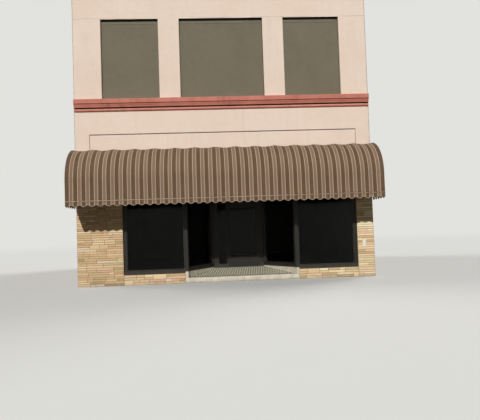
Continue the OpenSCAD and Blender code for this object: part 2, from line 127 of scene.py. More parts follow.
class Graph:
    """Adds and joins the nodes of one node tree."""

    def __init__(self, tree: Tree) -> None:
        """Keeps the tree that the nodes go into."""
        self.tree = tree

    def add(self, kind: str, inputs: dict[Any, Any] | None = None, **settings: Any) -> Node:
        """Adds one node.

        Args:
            kind: Type of the node.
            inputs: Values or sockets for its inputs, by name or number.
            settings: Properties of the node itself.

        Returns:
            The new node.
        """
        node = self.tree.nodes.new(kind)
        for key, value in settings.items():
            setattr(node, key, value)
        for key, value in (inputs or {}).items():
            if isinstance(value, Socket):
                self.join(value, node.inputs[key])
            else:
                node.inputs[key].default_value = value
        return node

    def join(self, source: Socket, target: Socket) -> None:
        """Links two sockets."""
        self.tree.links.new(source, target)

    def math(self, operation: str, a: Any, b: Any = 0.0, c: Any = 0.0, clamp: bool = False) -> Socket:
        """Result of one sum on up to three values."""
        values = {0: a, 1: b, 2: c}
        return self.add("ShaderNodeMath", values, operation=operation, use_clamp=clamp).outputs[0]

    def times(self, a: Any, b: Any) -> Socket:
        """Product of two values."""
        return self.math("MULTIPLY", a, b)

    def blend(self, share: Any, a: Any, b: Any) -> Socket:
        """Colour that lies a share of the way from a to b."""
        node = self.add("ShaderNodeMix", {0: share, 6: a, 7: b}, data_type="RGBA")
        return node.outputs[2]

    def ramp(self, value: Any, low: Any, high: Any, start: float = 0.0, end: float = 1.0) -> Any:
        """Value carried smoothly from start at low to end at high, and held beyond them."""
        places = {"Value": value, 1: low, 2: high, 3: start, 4: end}
        return self.add("ShaderNodeMapRange", places, interpolation_type="SMOOTHSTEP").outputs[0]

    def noise(self, place: Any, scale: Any, detail: float = 3.0) -> Socket:
        """Noise between 0 and 1 over a place."""
        values = {"Vector": place, "Scale": scale, "Detail": detail}
        return self.add("ShaderNodeTexNoise", values).outputs[0]

    def stretched(self, place: Any, scale: Point) -> Socket:
        """A place with each of its axes scaled."""
        return self.add("ShaderNodeMapping", {"Vector": place, "Scale": scale}).outputs[0]

    def split(self, vector: Any) -> Any:
        """The three parts of a vector."""
        return self.add("ShaderNodeSeparateXYZ", {0: vector}).outputs

    def steps(self, value: Any, colours: list[tuple[float, Colour]], sharp: bool) -> Socket:
        """Colour read from a row of places and colours.

        Args:
            value: Place in the row, from 0 to 1.
            colours: Places with their colours.
            sharp: Whether each colour holds until the next place.

        Returns:
            The colour.
        """
        node = self.add("ShaderNodeValToRGB", {0: value})
        node.color_ramp.interpolation = "CONSTANT" if sharp else "LINEAR"
        stops = node.color_ramp.elements
        while len(stops) < len(colours):
            stops.new(0.5)
        for stop, (place, colour) in zip(stops, colours):
            stop.position = place
            stop.color = linear(colour)
        return node.outputs[0]

    def use(self, group: Tree, inputs: dict[str, Any]) -> Any:
        """Places a shader node group and gives its outputs."""
        return self.add("ShaderNodeGroup", inputs, node_tree=group).outputs


def emptied(owner: Any) -> Graph:
    """Graph of a material or a world, cleared of its first nodes."""
    owner.use_nodes = True
    owner.node_tree.nodes.clear()
    return Graph(owner.node_tree)


@dataclass(frozen=True)
class Port:
    """A named socket of a node group, with its kind and starting value."""

    name: str
    kind: str = "Float"
    value: Any = None


def grouped(name: str, taken: list[Port], given: list[Port],
            kind: str = "ShaderNodeTree") -> tuple[Graph, Any, Any]:
    """Starts a node group with named sockets.

    Args:
        name: Name of the group.
        taken: Sockets that values come in by.
        given: Sockets that results go out by.
        kind: Type of its tree.

    Returns:
        The group's graph, the sockets to read from and the sockets to write to.
    """
    tree = bpy.data.node_groups.new(name, kind)
    for ports, way in ((taken, "INPUT"), (given, "OUTPUT")):
        for port in ports:
            made = tree.interface.new_socket(port.name, in_out=way, socket_type="NodeSocket" + port.kind)
            if port.value is not None:
                made.default_value = port.value
    graph = Graph(tree)
    return graph, graph.add("NodeGroupInput").outputs, graph.add("NodeGroupOutput").inputs


class Effects:
    """Shader node groups that several finishes share. Each reads a place and gives one result."""

    def begin(self, name: str, result: str, *more: Port) -> tuple[Graph, Any, Any]:
        """Starts a group with more sockets to read from."""
        return grouped(name, [Port("Place", "Vector"), *more], [Port(result)])

    @cached_property
    def clouds(self) -> Tree:
        """Soft patches of a given size with finer ones in them."""
        taken = [Port("Size", value=0.5), Port("Contrast", value=1.0)]
        graph, read, write = self.begin("Clouds", "Mask", *taken)
        finer, broad_share, fine_share, steep = 7.3, 0.65, 0.35, 3.0
        scale = graph.math("DIVIDE", 1.0, read["Size"])
        broad = graph.noise(read["Place"], scale)
        fine = graph.noise(read["Place"], graph.times(scale, finer), 4.0)
        both = graph.math("ADD", graph.times(broad, broad_share), graph.times(fine, fine_share))
        reach = graph.times(graph.math("SUBTRACT", both, 0.5), read["Contrast"])
        graph.join(graph.math("MULTIPLY_ADD", reach, steep, 0.5, clamp=True), write["Mask"])
        return graph.tree

    @cached_property
    def streaks(self) -> Tree:
        """Marks that rain leaves, long downwards and narrow across."""
        graph, read, write = self.begin("Streaks", "Mask")
        drawn = graph.noise(graph.stretched(read["Place"], (9.0, 9.0, 0.7)), 1.0, 5.0)
        patch = graph.noise(read["Place"], 0.8)
        mask = graph.times(graph.ramp(drawn, 0.5, 0.75), graph.ramp(patch, 0.4, 0.65))
        graph.join(mask, write["Mask"])
        return graph.tree

    @cached_property
    def splash(self) -> Tree:
        """Dirt that rises from a foot and thins out over a reach."""
        graph, read, write = self.begin("Splash", "Mask", Port("Foot"), Port("Reach", value=0.5))
        rough = graph.times(graph.noise(read["Place"], 5.0, 5.0), read["Reach"])
        height = graph.math("SUBTRACT", graph.split(read["Place"])[2], read["Foot"])
        share = graph.math("DIVIDE", graph.math("ADD", height, rough), read["Reach"])
        graph.join(graph.ramp(share, 0.3, 1.3, 1.0, 0.0), write["Mask"])
        return graph.tree

    @cached_property
    def grit(self) -> Tree:
        """Height in metres of a fine grain on a broader roughness."""
        taken = [Port("Grain", value=0.004), Port("Grain height"), Port("Lump", value=0.06),
                 Port("Lump height")]
        graph, read, write = self.begin("Grit", "Height", *taken)
        heights = []
        for size, height in (("Grain", "Grain height"), ("Lump", "Lump height")):
            bumps = graph.noise(read["Place"], graph.math("DIVIDE", 1.0, read[size]), 4.0)
            heights.append(graph.times(bumps, read[height]))
        graph.join(graph.math("ADD", *heights), write["Height"])
        return graph.tree

    @cached_property
    def wear(self) -> Tree:
        """Worn spots on the edges that carry the worn attribute."""
        graph, read, write = self.begin("Wear", "Mask")
        edge = graph.add("ShaderNodeAttribute", attribute_name="worn").outputs["Fac"]
        spots = graph.ramp(graph.noise(read["Place"], 14.0, 6.0), 0.44, 0.62)
        graph.join(graph.times(edge, spots), write["Mask"])
        return graph.tree

    @cached_property
    def weave(self) -> Tree:
        """Height in metres of plain woven thread."""
        taken = [Port("Thread", value=0.0012), Port("Depth", value=0.0002)]
        graph, read, write = self.begin("Weave", "Height", *taken)
        waves = []
        for part in graph.split(read["Place"])[:2]:
            turns = graph.math("DIVIDE", graph.times(part, math.pi), read["Thread"])
            waves.append(graph.math("SINE", turns))
        raised = graph.math("MULTIPLY_ADD", graph.times(*waves), 0.5, 0.5)
        graph.join(graph.times(raised, read["Depth"]), write["Height"])
        return graph.tree


EFFECTS = Effects()


@dataclass(frozen=True)
class Finish:
    """A procedural finish. Sizes and heights are in metres, and shares run from 0 to 1.

    Attributes:
        name: Name of the finish.
        colour: Main colour.
        second: Colour of its soft patches.
        patch: Size of the patches.
        contrast: How plainly the patches show.
        rough: Roughness.
        rough_spread: How far the patches change the roughness.
        metallic: Metallic share.
        specular: Strength of the plain gloss.
        grain: Size of the fine grain.
        grain_h: Height of the fine grain.
        lump: Size of the broader roughness.
        lump_h: Height of the broader roughness.
        dirt: Colour of dirt and rain marks.
        streaks: Share of rain marks.
        splash: Share of dirt at the foot.
        foot: Height at which that dirt starts.
        reach: Height over which it thins out.
        worn: Colour that shows on worn edges, if any.
    """

    name: str
    colour: Colour
    second: Colour
    patch: float = 0.5
    contrast: float = 1.0
    rough: float = 0.9
    rough_spread: float = 0.1
    metallic: float = 0.0
    specular: float = 0.3
    grain: float = 0.004
    grain_h: float = 0.0004
    lump: float = 0.06
    lump_h: float = 0.0
    dirt: Colour = (104, 90, 72)
    streaks: float = 0.0
    splash: float = 0.0
    foot: float = 0.0
    reach: float = 0.5
    worn: Colour | None = None

    def place(self, graph: Graph) -> Socket:
        """Coordinates that the patches and the grain are laid on."""
        return graph.add("ShaderNodeTexCoord").outputs["Object"]

    def clouds(self, graph: Graph, place: Any) -> Socket:
        """Mask of the soft patches."""
        sizes = {"Place": place, "Size": self.patch, "Contrast": self.contrast}
        return graph.use(EFFECTS.clouds, sizes)["Mask"]

    def pattern(self, graph: Graph, place: Any, clouds: Any) -> Socket:
        """Colour before any dirt or wear."""
        return graph.blend(clouds, linear(self.colour), linear(self.second))

    def height(self, graph: Graph, place: Any) -> Socket:
        """Height of the surface in metres, for its bump."""
        sizes = {"Place": place, "Grain": self.grain, "Grain height": self.grain_h,
                 "Lump": self.lump, "Lump height": self.lump_h}
        return graph.use(EFFECTS.grit, sizes)["Height"]

    def aged(self, graph: Graph, place: Any, colour: Any) -> Socket:
        """The colour with its rain marks, dirt and worn edges.

        Args:
            graph: Graph of the material.
            place: Coordinates on the piece.
            colour: Colour when new.

        Returns:
            The aged colour.
        """
        dirt = linear(self.dirt)
        if self.streaks:
            marks = graph.use(EFFECTS.streaks, {"Place": place})["Mask"]
            colour = graph.blend(graph.times(marks, self.streaks), colour, dirt)
        if self.splash:
            rise = {"Place": place, "Foot": self.foot, "Reach": self.reach}
            marks = graph.use(EFFECTS.splash, rise)["Mask"]
            colour = graph.blend(graph.times(marks, self.splash), colour, dirt)
        if self.worn:
            marks = graph.use(EFFECTS.wear, {"Place": place})["Mask"]
            colour = graph.blend(marks, colour, linear(self.worn))
        return colour

    def material(self) -> bpy.types.Material:
        """Builds the finish.

        Returns:
            The material.
        """
        made = bpy.data.materials.new(self.name)
        graph = emptied(made)
        place = self.place(graph)
        clouds = self.clouds(graph, place)
        colour = self.aged(graph, place, self.pattern(graph, place, clouds))
        spread = graph.times(graph.math("SUBTRACT", clouds, 0.5), self.rough_spread)
        roughness = graph.math("ADD", spread, self.rough, clamp=True)
        rise = self.height(graph, place)
        bump = graph.add("ShaderNodeBump", {"Strength": 1.0, "Distance": 1.0, "Height": rise})
        shader = graph.add("ShaderNodeBsdfPrincipled", {
            "Base Color": colour, "Roughness": roughness, "Metallic": self.metallic,
            "Specular IOR Level": self.specular, "Normal": bump.outputs[0]})
        self.tune(shader)
        graph.add("ShaderNodeOutputMaterial", {"Surface": shader.outputs[0]})
        return made

    def tune(self, shader: Node) -> None:
        """Sets what only some finishes have."""


@dataclass(frozen=True)
class Stucco(Finish):
    """Painted stucco with fine cracks that run from the window heads.

    Attributes:
        crack_z: Height of the cracks.
        crack: Width of the cracks.
        crack_colour: Colour in the cracks.
    """

    crack_z: float = 0.0
    crack: float = 0.007
    crack_colour: Colour = (176, 158, 140)

    def pattern(self, graph: Graph, place: Any, clouds: Any) -> Socket:
        """Patched colour with the cracks drawn over it."""
        base = super().pattern(graph, place, clouds)
        drift, lift = 0.05, 0.02
        wander = graph.times(graph.noise(place, 2.5, 5.0), drift)
        height = graph.math("ADD", graph.split(place)[2], wander)
        off = graph.math("ABSOLUTE", graph.math("SUBTRACT", height, self.crack_z + lift))
        line = graph.ramp(off, self.crack * 0.4, self.crack, 1.0, 0.0)
        stretch = graph.ramp(graph.noise(place, 0.9), 0.42, 0.55)
        return graph.blend(graph.times(line, stretch), base, linear(self.crack_colour))


@dataclass(frozen=True)
class Laid(Finish):
    """Finish of laid units, each with its own tint from a row of colours.

    Attributes:
        tints: Colours of the units, in even steps of the tint attribute.
        tint_share: How far the tints replace the patched colour.
    """

    tints: tuple[Colour, ...] = ()
    tint_share: float = 0.85

    def pattern(self, graph: Graph, place: Any, clouds: Any) -> Socket:
        """Patched colour under the unit's own tint."""
        base = super().pattern(graph, place, clouds)
        tint = graph.add("ShaderNodeAttribute", attribute_name="tint").outputs["Fac"]
        row = [(i / len(self.tints), colour) for i, colour in enumerate(self.tints)]
        spread = 0.3
        patched = graph.math("MULTIPLY_ADD", clouds, spread, self.tint_share - spread / 2)
        return graph.blend(patched, base, graph.steps(tint, row, sharp=True))

    def shaded(self, name: str, share: Point) -> "Laid":
        """The finish under another name, with its tints scaled channel by channel."""
        tints = tuple(tuple(min(255.0, c * s) for c, s in zip(tint, share)) for tint in self.tints)
        return replace(self, name=name, tints=tints)


@dataclass(frozen=True)
class Boards(Finish):
    """Boards that run along one axis, with open joints between them.

    Attributes:
        board: Width of a board.
        across: Number of the axis that crosses the boards.
    """

    board: float = 0.1
    across: int = 0

    def number(self, graph: Graph, place: Any) -> Socket:
        """Distance across the boards, counted in boards."""
        return graph.math("DIVIDE", graph.split(place)[self.across], self.board)

    def pattern(self, graph: Graph, place: Any, clouds: Any) -> Socket:
        """Patched colour that differs from board to board."""
        count = graph.math("FLOOR", self.number(graph, place))
        tone = graph.add("ShaderNodeTexWhiteNoise", {"W": count}, noise_dimensions="1D").outputs[0]
        share = graph.times(graph.math("ADD", clouds, tone), 0.5)
        return graph.blend(share, linear(self.colour), linear(self.second))

    def height(self, graph: Graph, place: Any) -> Socket:
        """Grain with a groove at each joint."""
        part = graph.math("FRACT", self.number(graph, place))
        off = graph.math("ABSOLUTE", graph.math("SUBTRACT", part, 0.5))
        groove = graph.ramp(off, 0.47, 0.5, 0.0, -0.002)
        return graph.math("ADD", groove, super().height(graph, place))


@dataclass(frozen=True)
class StripedCloth(Finish):
    """Woven awning cloth with stripes that repeat across its width.

    Attributes:
        repeat: Width of one repeat.
        pale: Half the width of the pale part of a repeat.
        line: Width of the light line at each edge of the pale part.
        dark: Colour between the pale parts.
        light: Colour of the lines.
    """

    repeat: float = 0.233
    pale: float = 0.060
    line: float = 0.020
    dark: Colour = (101, 78, 58)
    light: Colour = (186, 162, 138)

    def place(self, graph: Graph) -> Socket:
        """Distance across and down the flat cloth, in metres."""
        return graph.add("ShaderNodeUVMap", uv_map="cloth").outputs[0]

    def pattern(self, graph: Graph, place: Any, clouds: Any) -> Socket:
        """Dark, tan and light stripes, faded in patches."""
        turns = graph.math("ADD", graph.math("DIVIDE", graph.split(place)[0], self.repeat), 0.5)
        off = graph.math("ABSOLUTE", graph.math("SUBTRACT", graph.math("FRACT", turns), 0.5))
        half = self.repeat / 2
        inner, outer = (self.pale - self.line) / half, self.pale / half
        soft = 0.02
        row = [(0.0, self.colour), (inner - soft, self.colour), (inner + soft, self.light),
               (outer - soft, self.light), (outer + soft, self.dark), (1.0, self.dark)]
        stripes = graph.steps(graph.times(off, 2.0), row, sharp=False)
        fading = 0.16
        return graph.blend(graph.times(clouds, fading), stripes, linear(self.second))

    def height(self, graph: Graph, place: Any) -> Socket:
        """Height of the woven threads."""
        return graph.use(EFFECTS.weave, {"Place": place})["Height"]

    def tune(self, shader: Node) -> None:
        """Gives the cloth the sheen of dull fibres."""
        shader.inputs["Sheen Weight"].default_value = 0.03
        shader.inputs["Sheen Roughness"].default_value = 0.6


@dataclass(frozen=True)
class Pane(Finish):
    """Window glass with a faint film of dust.

    Attributes:
        bend: Refraction of the glass.
    """

    bend: float = 1.17

    def tune(self, shader: Node) -> None:
        """Makes the pane clear."""
        shader.inputs["Transmission Weight"].default_value = 1.0
        shader.inputs["IOR"].default_value = self.bend


class Coat(Enum):
    """The building's finishes."""

    STUCCO = Stucco(
        "Stucco", (230, 208, 190), (238, 218, 201), patch=1.3, contrast=0.9, grain=0.006,
        grain_h=0.0012, lump=0.18, lump_h=0.0025, dirt=(190, 160, 136), streaks=0.16,
        crack_z=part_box("front_centre_window_panel")[1].z)
    # Inner plaster, painted much darker than plaster is: painted shade that keeps the rooms dark behind
    # the glass.
    DARKENED_PLASTER = Finish(
        "Inner_plaster_painted_shade", (92, 86, 78), (80, 75, 68), patch=0.8, rough=0.95, lump=0.2, lump_h=0.001)
    PARGING = Finish(
        "Parging", (158, 150, 138), (138, 130, 118), rough=0.95, grain_h=0.0012, lump=0.1, lump_h=0.003,
        streaks=0.5)
    MORTAR = Finish(
        "Stone_mortar", (144, 119, 84), (162, 138, 102), patch=0.12, rough=0.95, grain_h=0.0014,
        splash=0.35, reach=0.4)
    STONE = Laid(
        "Facing_stone", (234, 206, 164), (214, 184, 142), patch=0.09, contrast=1.4, rough=0.88,
        grain=0.003, grain_h=0.0008, lump=0.03, lump_h=0.003, splash=0.3, reach=0.35, tint_share=0.75,
        tints=((232, 206, 164), (220, 192, 146), (242, 220, 178), (234, 190, 162), (250, 236, 206),
        (212, 198, 154), (228, 202, 154), (238, 210, 162), (250, 230, 188), (192, 164, 122),
        (224, 196, 150), (244, 200, 170), (246, 220, 172), (204, 174, 130)))
    PALE_STONE = STONE.shaded("Pale_facing_stone", (1.06, 1.065, 1.10))
    GOLDEN_STONE = STONE.shaded("Golden_facing_stone", (0.935, 0.90, 0.885))
    BRICK_MORTAR = Finish(
        "Brick_mortar", (172, 160, 146), (152, 140, 126), patch=0.2, rough=0.95, grain_h=0.0012,
        splash=0.3, reach=0.6)
    BRICK = Laid(
        "Common_brick", (144, 100, 84), (128, 88, 74), patch=0.07, grain=0.003, grain_h=0.0009,
        splash=0.3, reach=0.6, streaks=0.15, tint_share=0.65, tints=((142, 96, 80), (128, 84, 70),
        (154, 106, 88), (118, 80, 68), (146, 104, 90), (134, 88, 72), (162, 116, 96), (110, 76, 66)))
    COPING = Finish(
        "Coping_stone", (190, 183, 170), (164, 156, 142), patch=0.3, contrast=1.2, rough=0.85,
        grain_h=0.001, lump=0.05, lump_h=0.0015, streaks=0.5, worn=(208, 202, 190))
    BELT = Finish(
        "Belt_paint", (203, 128, 111), (184, 112, 95), patch=0.35, contrast=1.2, rough=0.7,
        grain_h=0.0003, lump=0.04, lump_h=0.0006, dirt=(120, 78, 62), streaks=0.5, worn=(206, 150, 132))
    # Paler belt paint for the bead: a painted highlight where its round catches the light.
    BELT_HIGHLIGHT = replace(
        BELT, name="Belt_paint_highlight", colour=(214, 150, 130), second=(198, 132, 112), patch=0.25,
        rough=0.75, worn=None)
    PANEL = Finish(
        "Panel_paint", (114, 106, 88), (122, 114, 96), patch=0.9, rough=0.7, specular=0.1,
        grain_h=0.0002, lump=0.3, lump_h=0.002, dirt=(100, 92, 74), streaks=0.2, worn=(140, 131, 112))
    PANEL_EDGE = Finish(
        "Panel_trim_paint", (123, 117, 100), (116, 110, 92), patch=0.4, rough=0.7, specular=0.1,
        grain_h=0.0002, streaks=0.3, dirt=(100, 92, 74), worn=(142, 135, 117))
    # Near-black joint colour: painted shade in the joints, undersides and hollows where shadow falls.
    JOINT_SHADE = Finish("Joint_painted_shade", (30, 21, 15), (44, 33, 25), patch=0.15, grain_h=0.0005)
    BRONZE = Finish(
        "Dark_bronze", (37, 35, 31), (45, 42, 37), patch=0.25, rough=0.5, rough_spread=0.15,
        metallic=0.1, specular=0.22, grain_h=0.00005, dirt=(104, 96, 82), splash=0.3, foot=0.3,
        reach=0.25, worn=(92, 86, 76))
    GASKET = Finish("Rubber_gasket", (24, 24, 24), (34, 33, 32), patch=0.1, rough=0.6, grain_h=0.0001)
    GLASS = Pane(
        "Window_glass", (206, 216, 214), (214, 222, 220), patch=0.6, contrast=0.5, rough=0.012,
        rough_spread=0.02, specular=0.5, grain=0.6, grain_h=0.0004)
    CONCRETE = Finish(
        "Floor_concrete", (150, 143, 128), (132, 125, 110), patch=0.3, grain_h=0.0006, lump=0.05,
        lump_h=0.0008)
    STEP = Finish(
        "Step_concrete", (232, 224, 204), (206, 196, 176), patch=0.16, contrast=1.4, grain_h=0.001,
        lump=0.03, lump_h=0.002, dirt=(132, 120, 102), splash=0.5, reach=0.12, worn=(228, 220, 204))
    TILE = Laid(
        "Entry_tile", (190, 184, 156), (160, 152, 128), rough=0.55, grain_h=0.0001, tint_share=0.9,
        tints=((255, 251, 222), (244, 238, 206), (62, 56, 44), (94, 87, 68)))
    BOARDS = Boards(
        "Floor_boards", (70, 54, 40), (92, 72, 54), patch=0.6, rough=0.55, specular=0.4, grain=0.01,
        board=0.09)
    SOFFIT = Boards("Soffit_boards", (128, 120, 106), (112, 104, 90), rough=0.7, board=0.085, across=1)
    ROOFING = Finish(
        "Roofing_felt", (96, 97, 98), (78, 79, 81), patch=1.6, contrast=1.3, rough=0.95, grain=0.003,
        grain_h=0.001, lump=0.5, lump_h=0.004)
    LAPS = Finish(
        "Felt_laps", (80, 81, 82), (64, 65, 67), patch=0.3, contrast=1.3, grain=0.003, grain_h=0.001)
    FLASHING = Finish(
        "Sheet_metal", (150, 152, 152), (126, 128, 130), patch=0.25, rough=0.45, rough_spread=0.25,
        metallic=0.85, grain_h=0.0001, streaks=0.3, worn=(180, 182, 182))
    ALUMINIUM = Finish(
        "Brushed_aluminium", (50, 49, 45), (41, 40, 37), patch=0.12, rough=0.42, rough_spread=0.2,
        metallic=0.6, grain_h=0.00005, worn=(166, 164, 158))
    CLOTH = StripedCloth(
        "Awning_cloth", (135, 111, 91), (150, 130, 112), patch=0.8, rough=0.95, specular=0.1)
    PIPING = Finish(
        "Awning_piping", (196, 174, 151), (174, 153, 131), patch=0.2, specular=0.2, grain=0.002,
        grain_h=0.0004)
    STEEL = Finish(
        "Painted_steel", (122, 122, 118), (104, 104, 100), patch=0.3, rough=0.5, specular=0.4,
        grain_h=0.0002, dirt=(110, 74, 50), streaks=0.5)
    PLASTIC = Finish(
        "Box_plastic", (246, 242, 230), (236, 230, 214), patch=0.1, rough=0.5, specular=0.45,
        grain=0.001, grain_h=0.0001, streaks=0.3, worn=(238, 235, 226))

    @property
    def material(self) -> bpy.types.Material:
        """The finish's material, built when it is first used."""
        return bpy.data.materials.get(self.value.name) or self.value.material()


def shown(name: str, data: bpy.types.ID) -> Piece:
    """Puts a mesh, a lamp or a camera in the scene as an object."""
    made = bpy.data.objects.new(name, data)
    bpy.context.scene.collection.objects.link(made)
    return made


def meshed(name: str, points: list[Point], faces: Iterable[tuple[int, ...]] = (),
           edges: Iterable[tuple[int, int]] = ()) -> Mesh:
    """New mesh of points with their faces and edges."""
    data = bpy.data.meshes.new(name)
    data.from_pydata(points, edges, faces)
    return data


def released(mesh: bmesh.types.BMesh, name: str) -> Piece:
    """Turns a mesh that was worked on into an object."""
    data = bpy.data.meshes.new(name)
    mesh.to_mesh(data)
    mesh.free()
    return shown(name, data)


def bevel(mesh: bmesh.types.BMesh, edges: Iterable[bmesh.types.BMEdge], width: float) -> None:
    """Bevels the sharp ones among some edges, and marks the new faces as worn."""
    worn = mesh.faces.layers.float["worn"]
    sharp = [edge for edge in edges if edge.calc_face_angle(0) > SHARP_ANGLE]
    made = bmesh.ops.bevel(mesh, geom=sharp, offset=width, segments=1, affect="EDGES",
                           clamp_overlap=True)
    for face in made["faces"]:
        face[worn] = 1.0


def even_lengths(low: float, high: float, count: int, gap: float) -> list[Pair]:
    """Starts and ends of equal lengths between two places, with gaps between them."""
    pitch = (high - low) / count
    starts = [low + i * pitch + (gap / 2 if i else 0.0) for i in range(count)]
    ends = [low + (i + 1) * pitch - (gap / 2 if i < count - 1 else 0.0) for i in range(count)]
    return list(zip(starts, ends))


def border(span: Span, side: float, foot: float, head: float) -> list[Span]:
    """Four bars inside a rectangle: at its foot, at its head and at both sides.

    Args:
        span: Start, end, foot and head of the rectangle.
        side: Width of the bars at the sides.
        foot: Height of the bar at the foot.
        head: Height of the bar at the head.

    Returns:
        The bars, each as its start, end, foot and head.
    """
    x0, x1, z0, z1 = span
    low, high = z0 + foot, z1 - head
    return [(x0, x1, z0, low), (x0, x1, high, z1), (x0, x0 + side, low, high),
            (x1 - side, x1, low, high)]


class Solid:
    """Collects closed shapes in one mesh."""

    def __init__(self) -> None:
        """Starts with nothing."""
        self.mesh = bmesh.new()
        self.mesh.faces.layers.float.new("worn")

    def hull(self, corners: list[Point], faces: Iterable[tuple[int, ...]], soften: float = 0.0) -> None:
        """Adds a closed shape.

        Args:
            corners: Its points.
            faces: The points of each face, by number.
            soften: Width of its bevelled edges.
        """
        verts = [self.mesh.verts.new(corner) for corner in corners]
        made = [self.mesh.faces.new([verts[i] for i in face]) for face in faces]
        bmesh.ops.recalc_face_normals(self.mesh, faces=made)
        if soften:
            bevel(self.mesh, {edge for face in made for edge in face.edges}, soften)

    def box(self, low: Point, high: Point, soften: float = 0.0,
            place: Callable[[float, float, float], Point] | None = None) -> None:
        """Adds a box.

        Args:
            low: One corner.
            high: The corner across from it.
            soften: Width of its bevelled edges.
            place: Carries a point of the box to the building's frame, if it isn't there already.
        """
        corners = list(product(*zip(low, high)))
        if place:
            corners = [place(*corner) for corner in corners]
        faces = ((0, 1, 3, 2), (4, 6, 7, 5), (0, 4, 5, 1), (2, 3, 7, 6), (0, 2, 6, 4), (1, 5, 7, 3))
        self.hull(corners, faces, soften)

    def drawn(self, first: list[Point], second: list[Point], soften: float = 0.0) -> None:
        """Adds the shape between two rings of points."""
        count = len(first)
        sides = [(i, (i + 1) % count, count + (i + 1) % count, count + i) for i in range(count)]
        ends = [tuple(range(count)), tuple(range(count, 2 * count))]
        self.hull([*first, *second], [*ends, *sides], soften)

    def prism(self, outline: list[Pair], start: Vector, end: Vector, outward: Vector) -> None:
        """Adds an outline drawn out from one point to another.

        Args:
            outline: Points of the outline, in distance outwards and upwards.
            start: Place of the outline's origin at one end.
            end: Place of its origin at the other end.
            outward: Direction in which the distance outwards is measured.
        """
        self.drawn(*([tuple(at + outward * out + Vector((0, 0, up))) for out, up in outline]
                     for at in (start, end)))

    def rod(self, start: Point, end: Point, radius: float, sides: int, soften: float) -> None:
        """Adds a round rod between two points.

        Args:
            start: Middle of one end.
            end: Middle of the other end.
            radius: Its radius.
            sides: Number of its sides.
            soften: Width of its bevelled ends.
        """
        axis = (Vector(end) - Vector(start)).normalized()
        across = axis.orthogonal().normalized()
        other = axis.cross(across)
        turns = [2 * math.pi * i / sides for i in range(sides)]
        ways = [radius * (math.cos(turn) * across + math.sin(turn) * other) for turn in turns]
        self.drawn(*([tuple(Vector(at) + way) for way in ways] for at in (start, end)), soften)

    def piece(self, name: str) -> Piece:
        """Makes an object of the shapes collected."""
        return released(self.mesh, name)


def fit(piece: Piece, coat: Coat | None, slot: Slot, *nodes: str, body: Body = Body.BUILDING) -> None:
    """Dresses a piece and sets it on its body.

    Args:
        piece: The piece, in its place.
        coat: Finish of the whole piece, or None where its faces have theirs.
        slot: Slot of the record; not used.
        nodes: Nodes of the frame that it stands for.
        body: Body that it rides on.
    """
    if coat:
        zoned(piece, coat)
    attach(piece, body.value)
    if nodes:
        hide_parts(*nodes)
    log.info("%s on %s, %d faces", piece.name, body.value, len(piece.data.polygons))


def dress(coat: Coat, *nodes: str) -> None:
    """Gives nodes of the frame, which stay as they are, a finish."""
    for name in nodes:
        zoned(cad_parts[name], coat)
        log.info("%s dressed", name)


@dataclass(frozen=True)
class Zone:
    """Faces that take a finish of their own, picked by their normal and their middle."""

    coat: Coat
    picks: Callable[[Vector, Vector], bool]


def zoned(piece: Piece, base: Coat, *zones: Zone) -> Piece:
    """Gives a piece one finish and the faces of each zone another, and hands it back."""
    data = piece.data
    data.materials.clear()
    for coat in (base, *(zone.coat for zone in zones)):
        data.materials.append(coat.material)
    for face in data.polygons:
        for number, zone in enumerate(zones, 1):
            if zone.picks(face.normal, face.center):
                face.material_index = number
    return piece


def recast(node: str, name: str, width: float, coat: Coat, slot: Slot, *zones: Zone,
           body: Body = Body.BUILDING) -> None:
    """Stands a copy of a node in for it, with its sharp edges bevelled and marked as worn.

    Args:
        node: Node of the frame.
        name: Name of the copy.
        width: Width of the bevels.
        coat: Finish of the copy.
        slot: Slot of the record, handed on to fit.
        zones: Faces that take a finish of their own.
        body: Body that it rides on.
    """
    made = bmesh.new()
    made.from_mesh(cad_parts[node].data)
    bmesh.ops.remove_doubles(made, verts=made.verts, dist=1e-5)
    bmesh.ops.dissolve_limit(made, angle_limit=0.02, verts=made.verts, edges=made.edges)
    made.faces.layers.float.new("worn")
    bevel(made, made.edges, width)
    fit(zoned(released(made, name), coat, *zones), None, slot, node, body=body)


@dataclass(frozen=True)
class Unit:
    """A laid stone, brick or tile: its middle on the wall's face, its size and its tint."""

    middle: Point
    size: Point
    tint: float


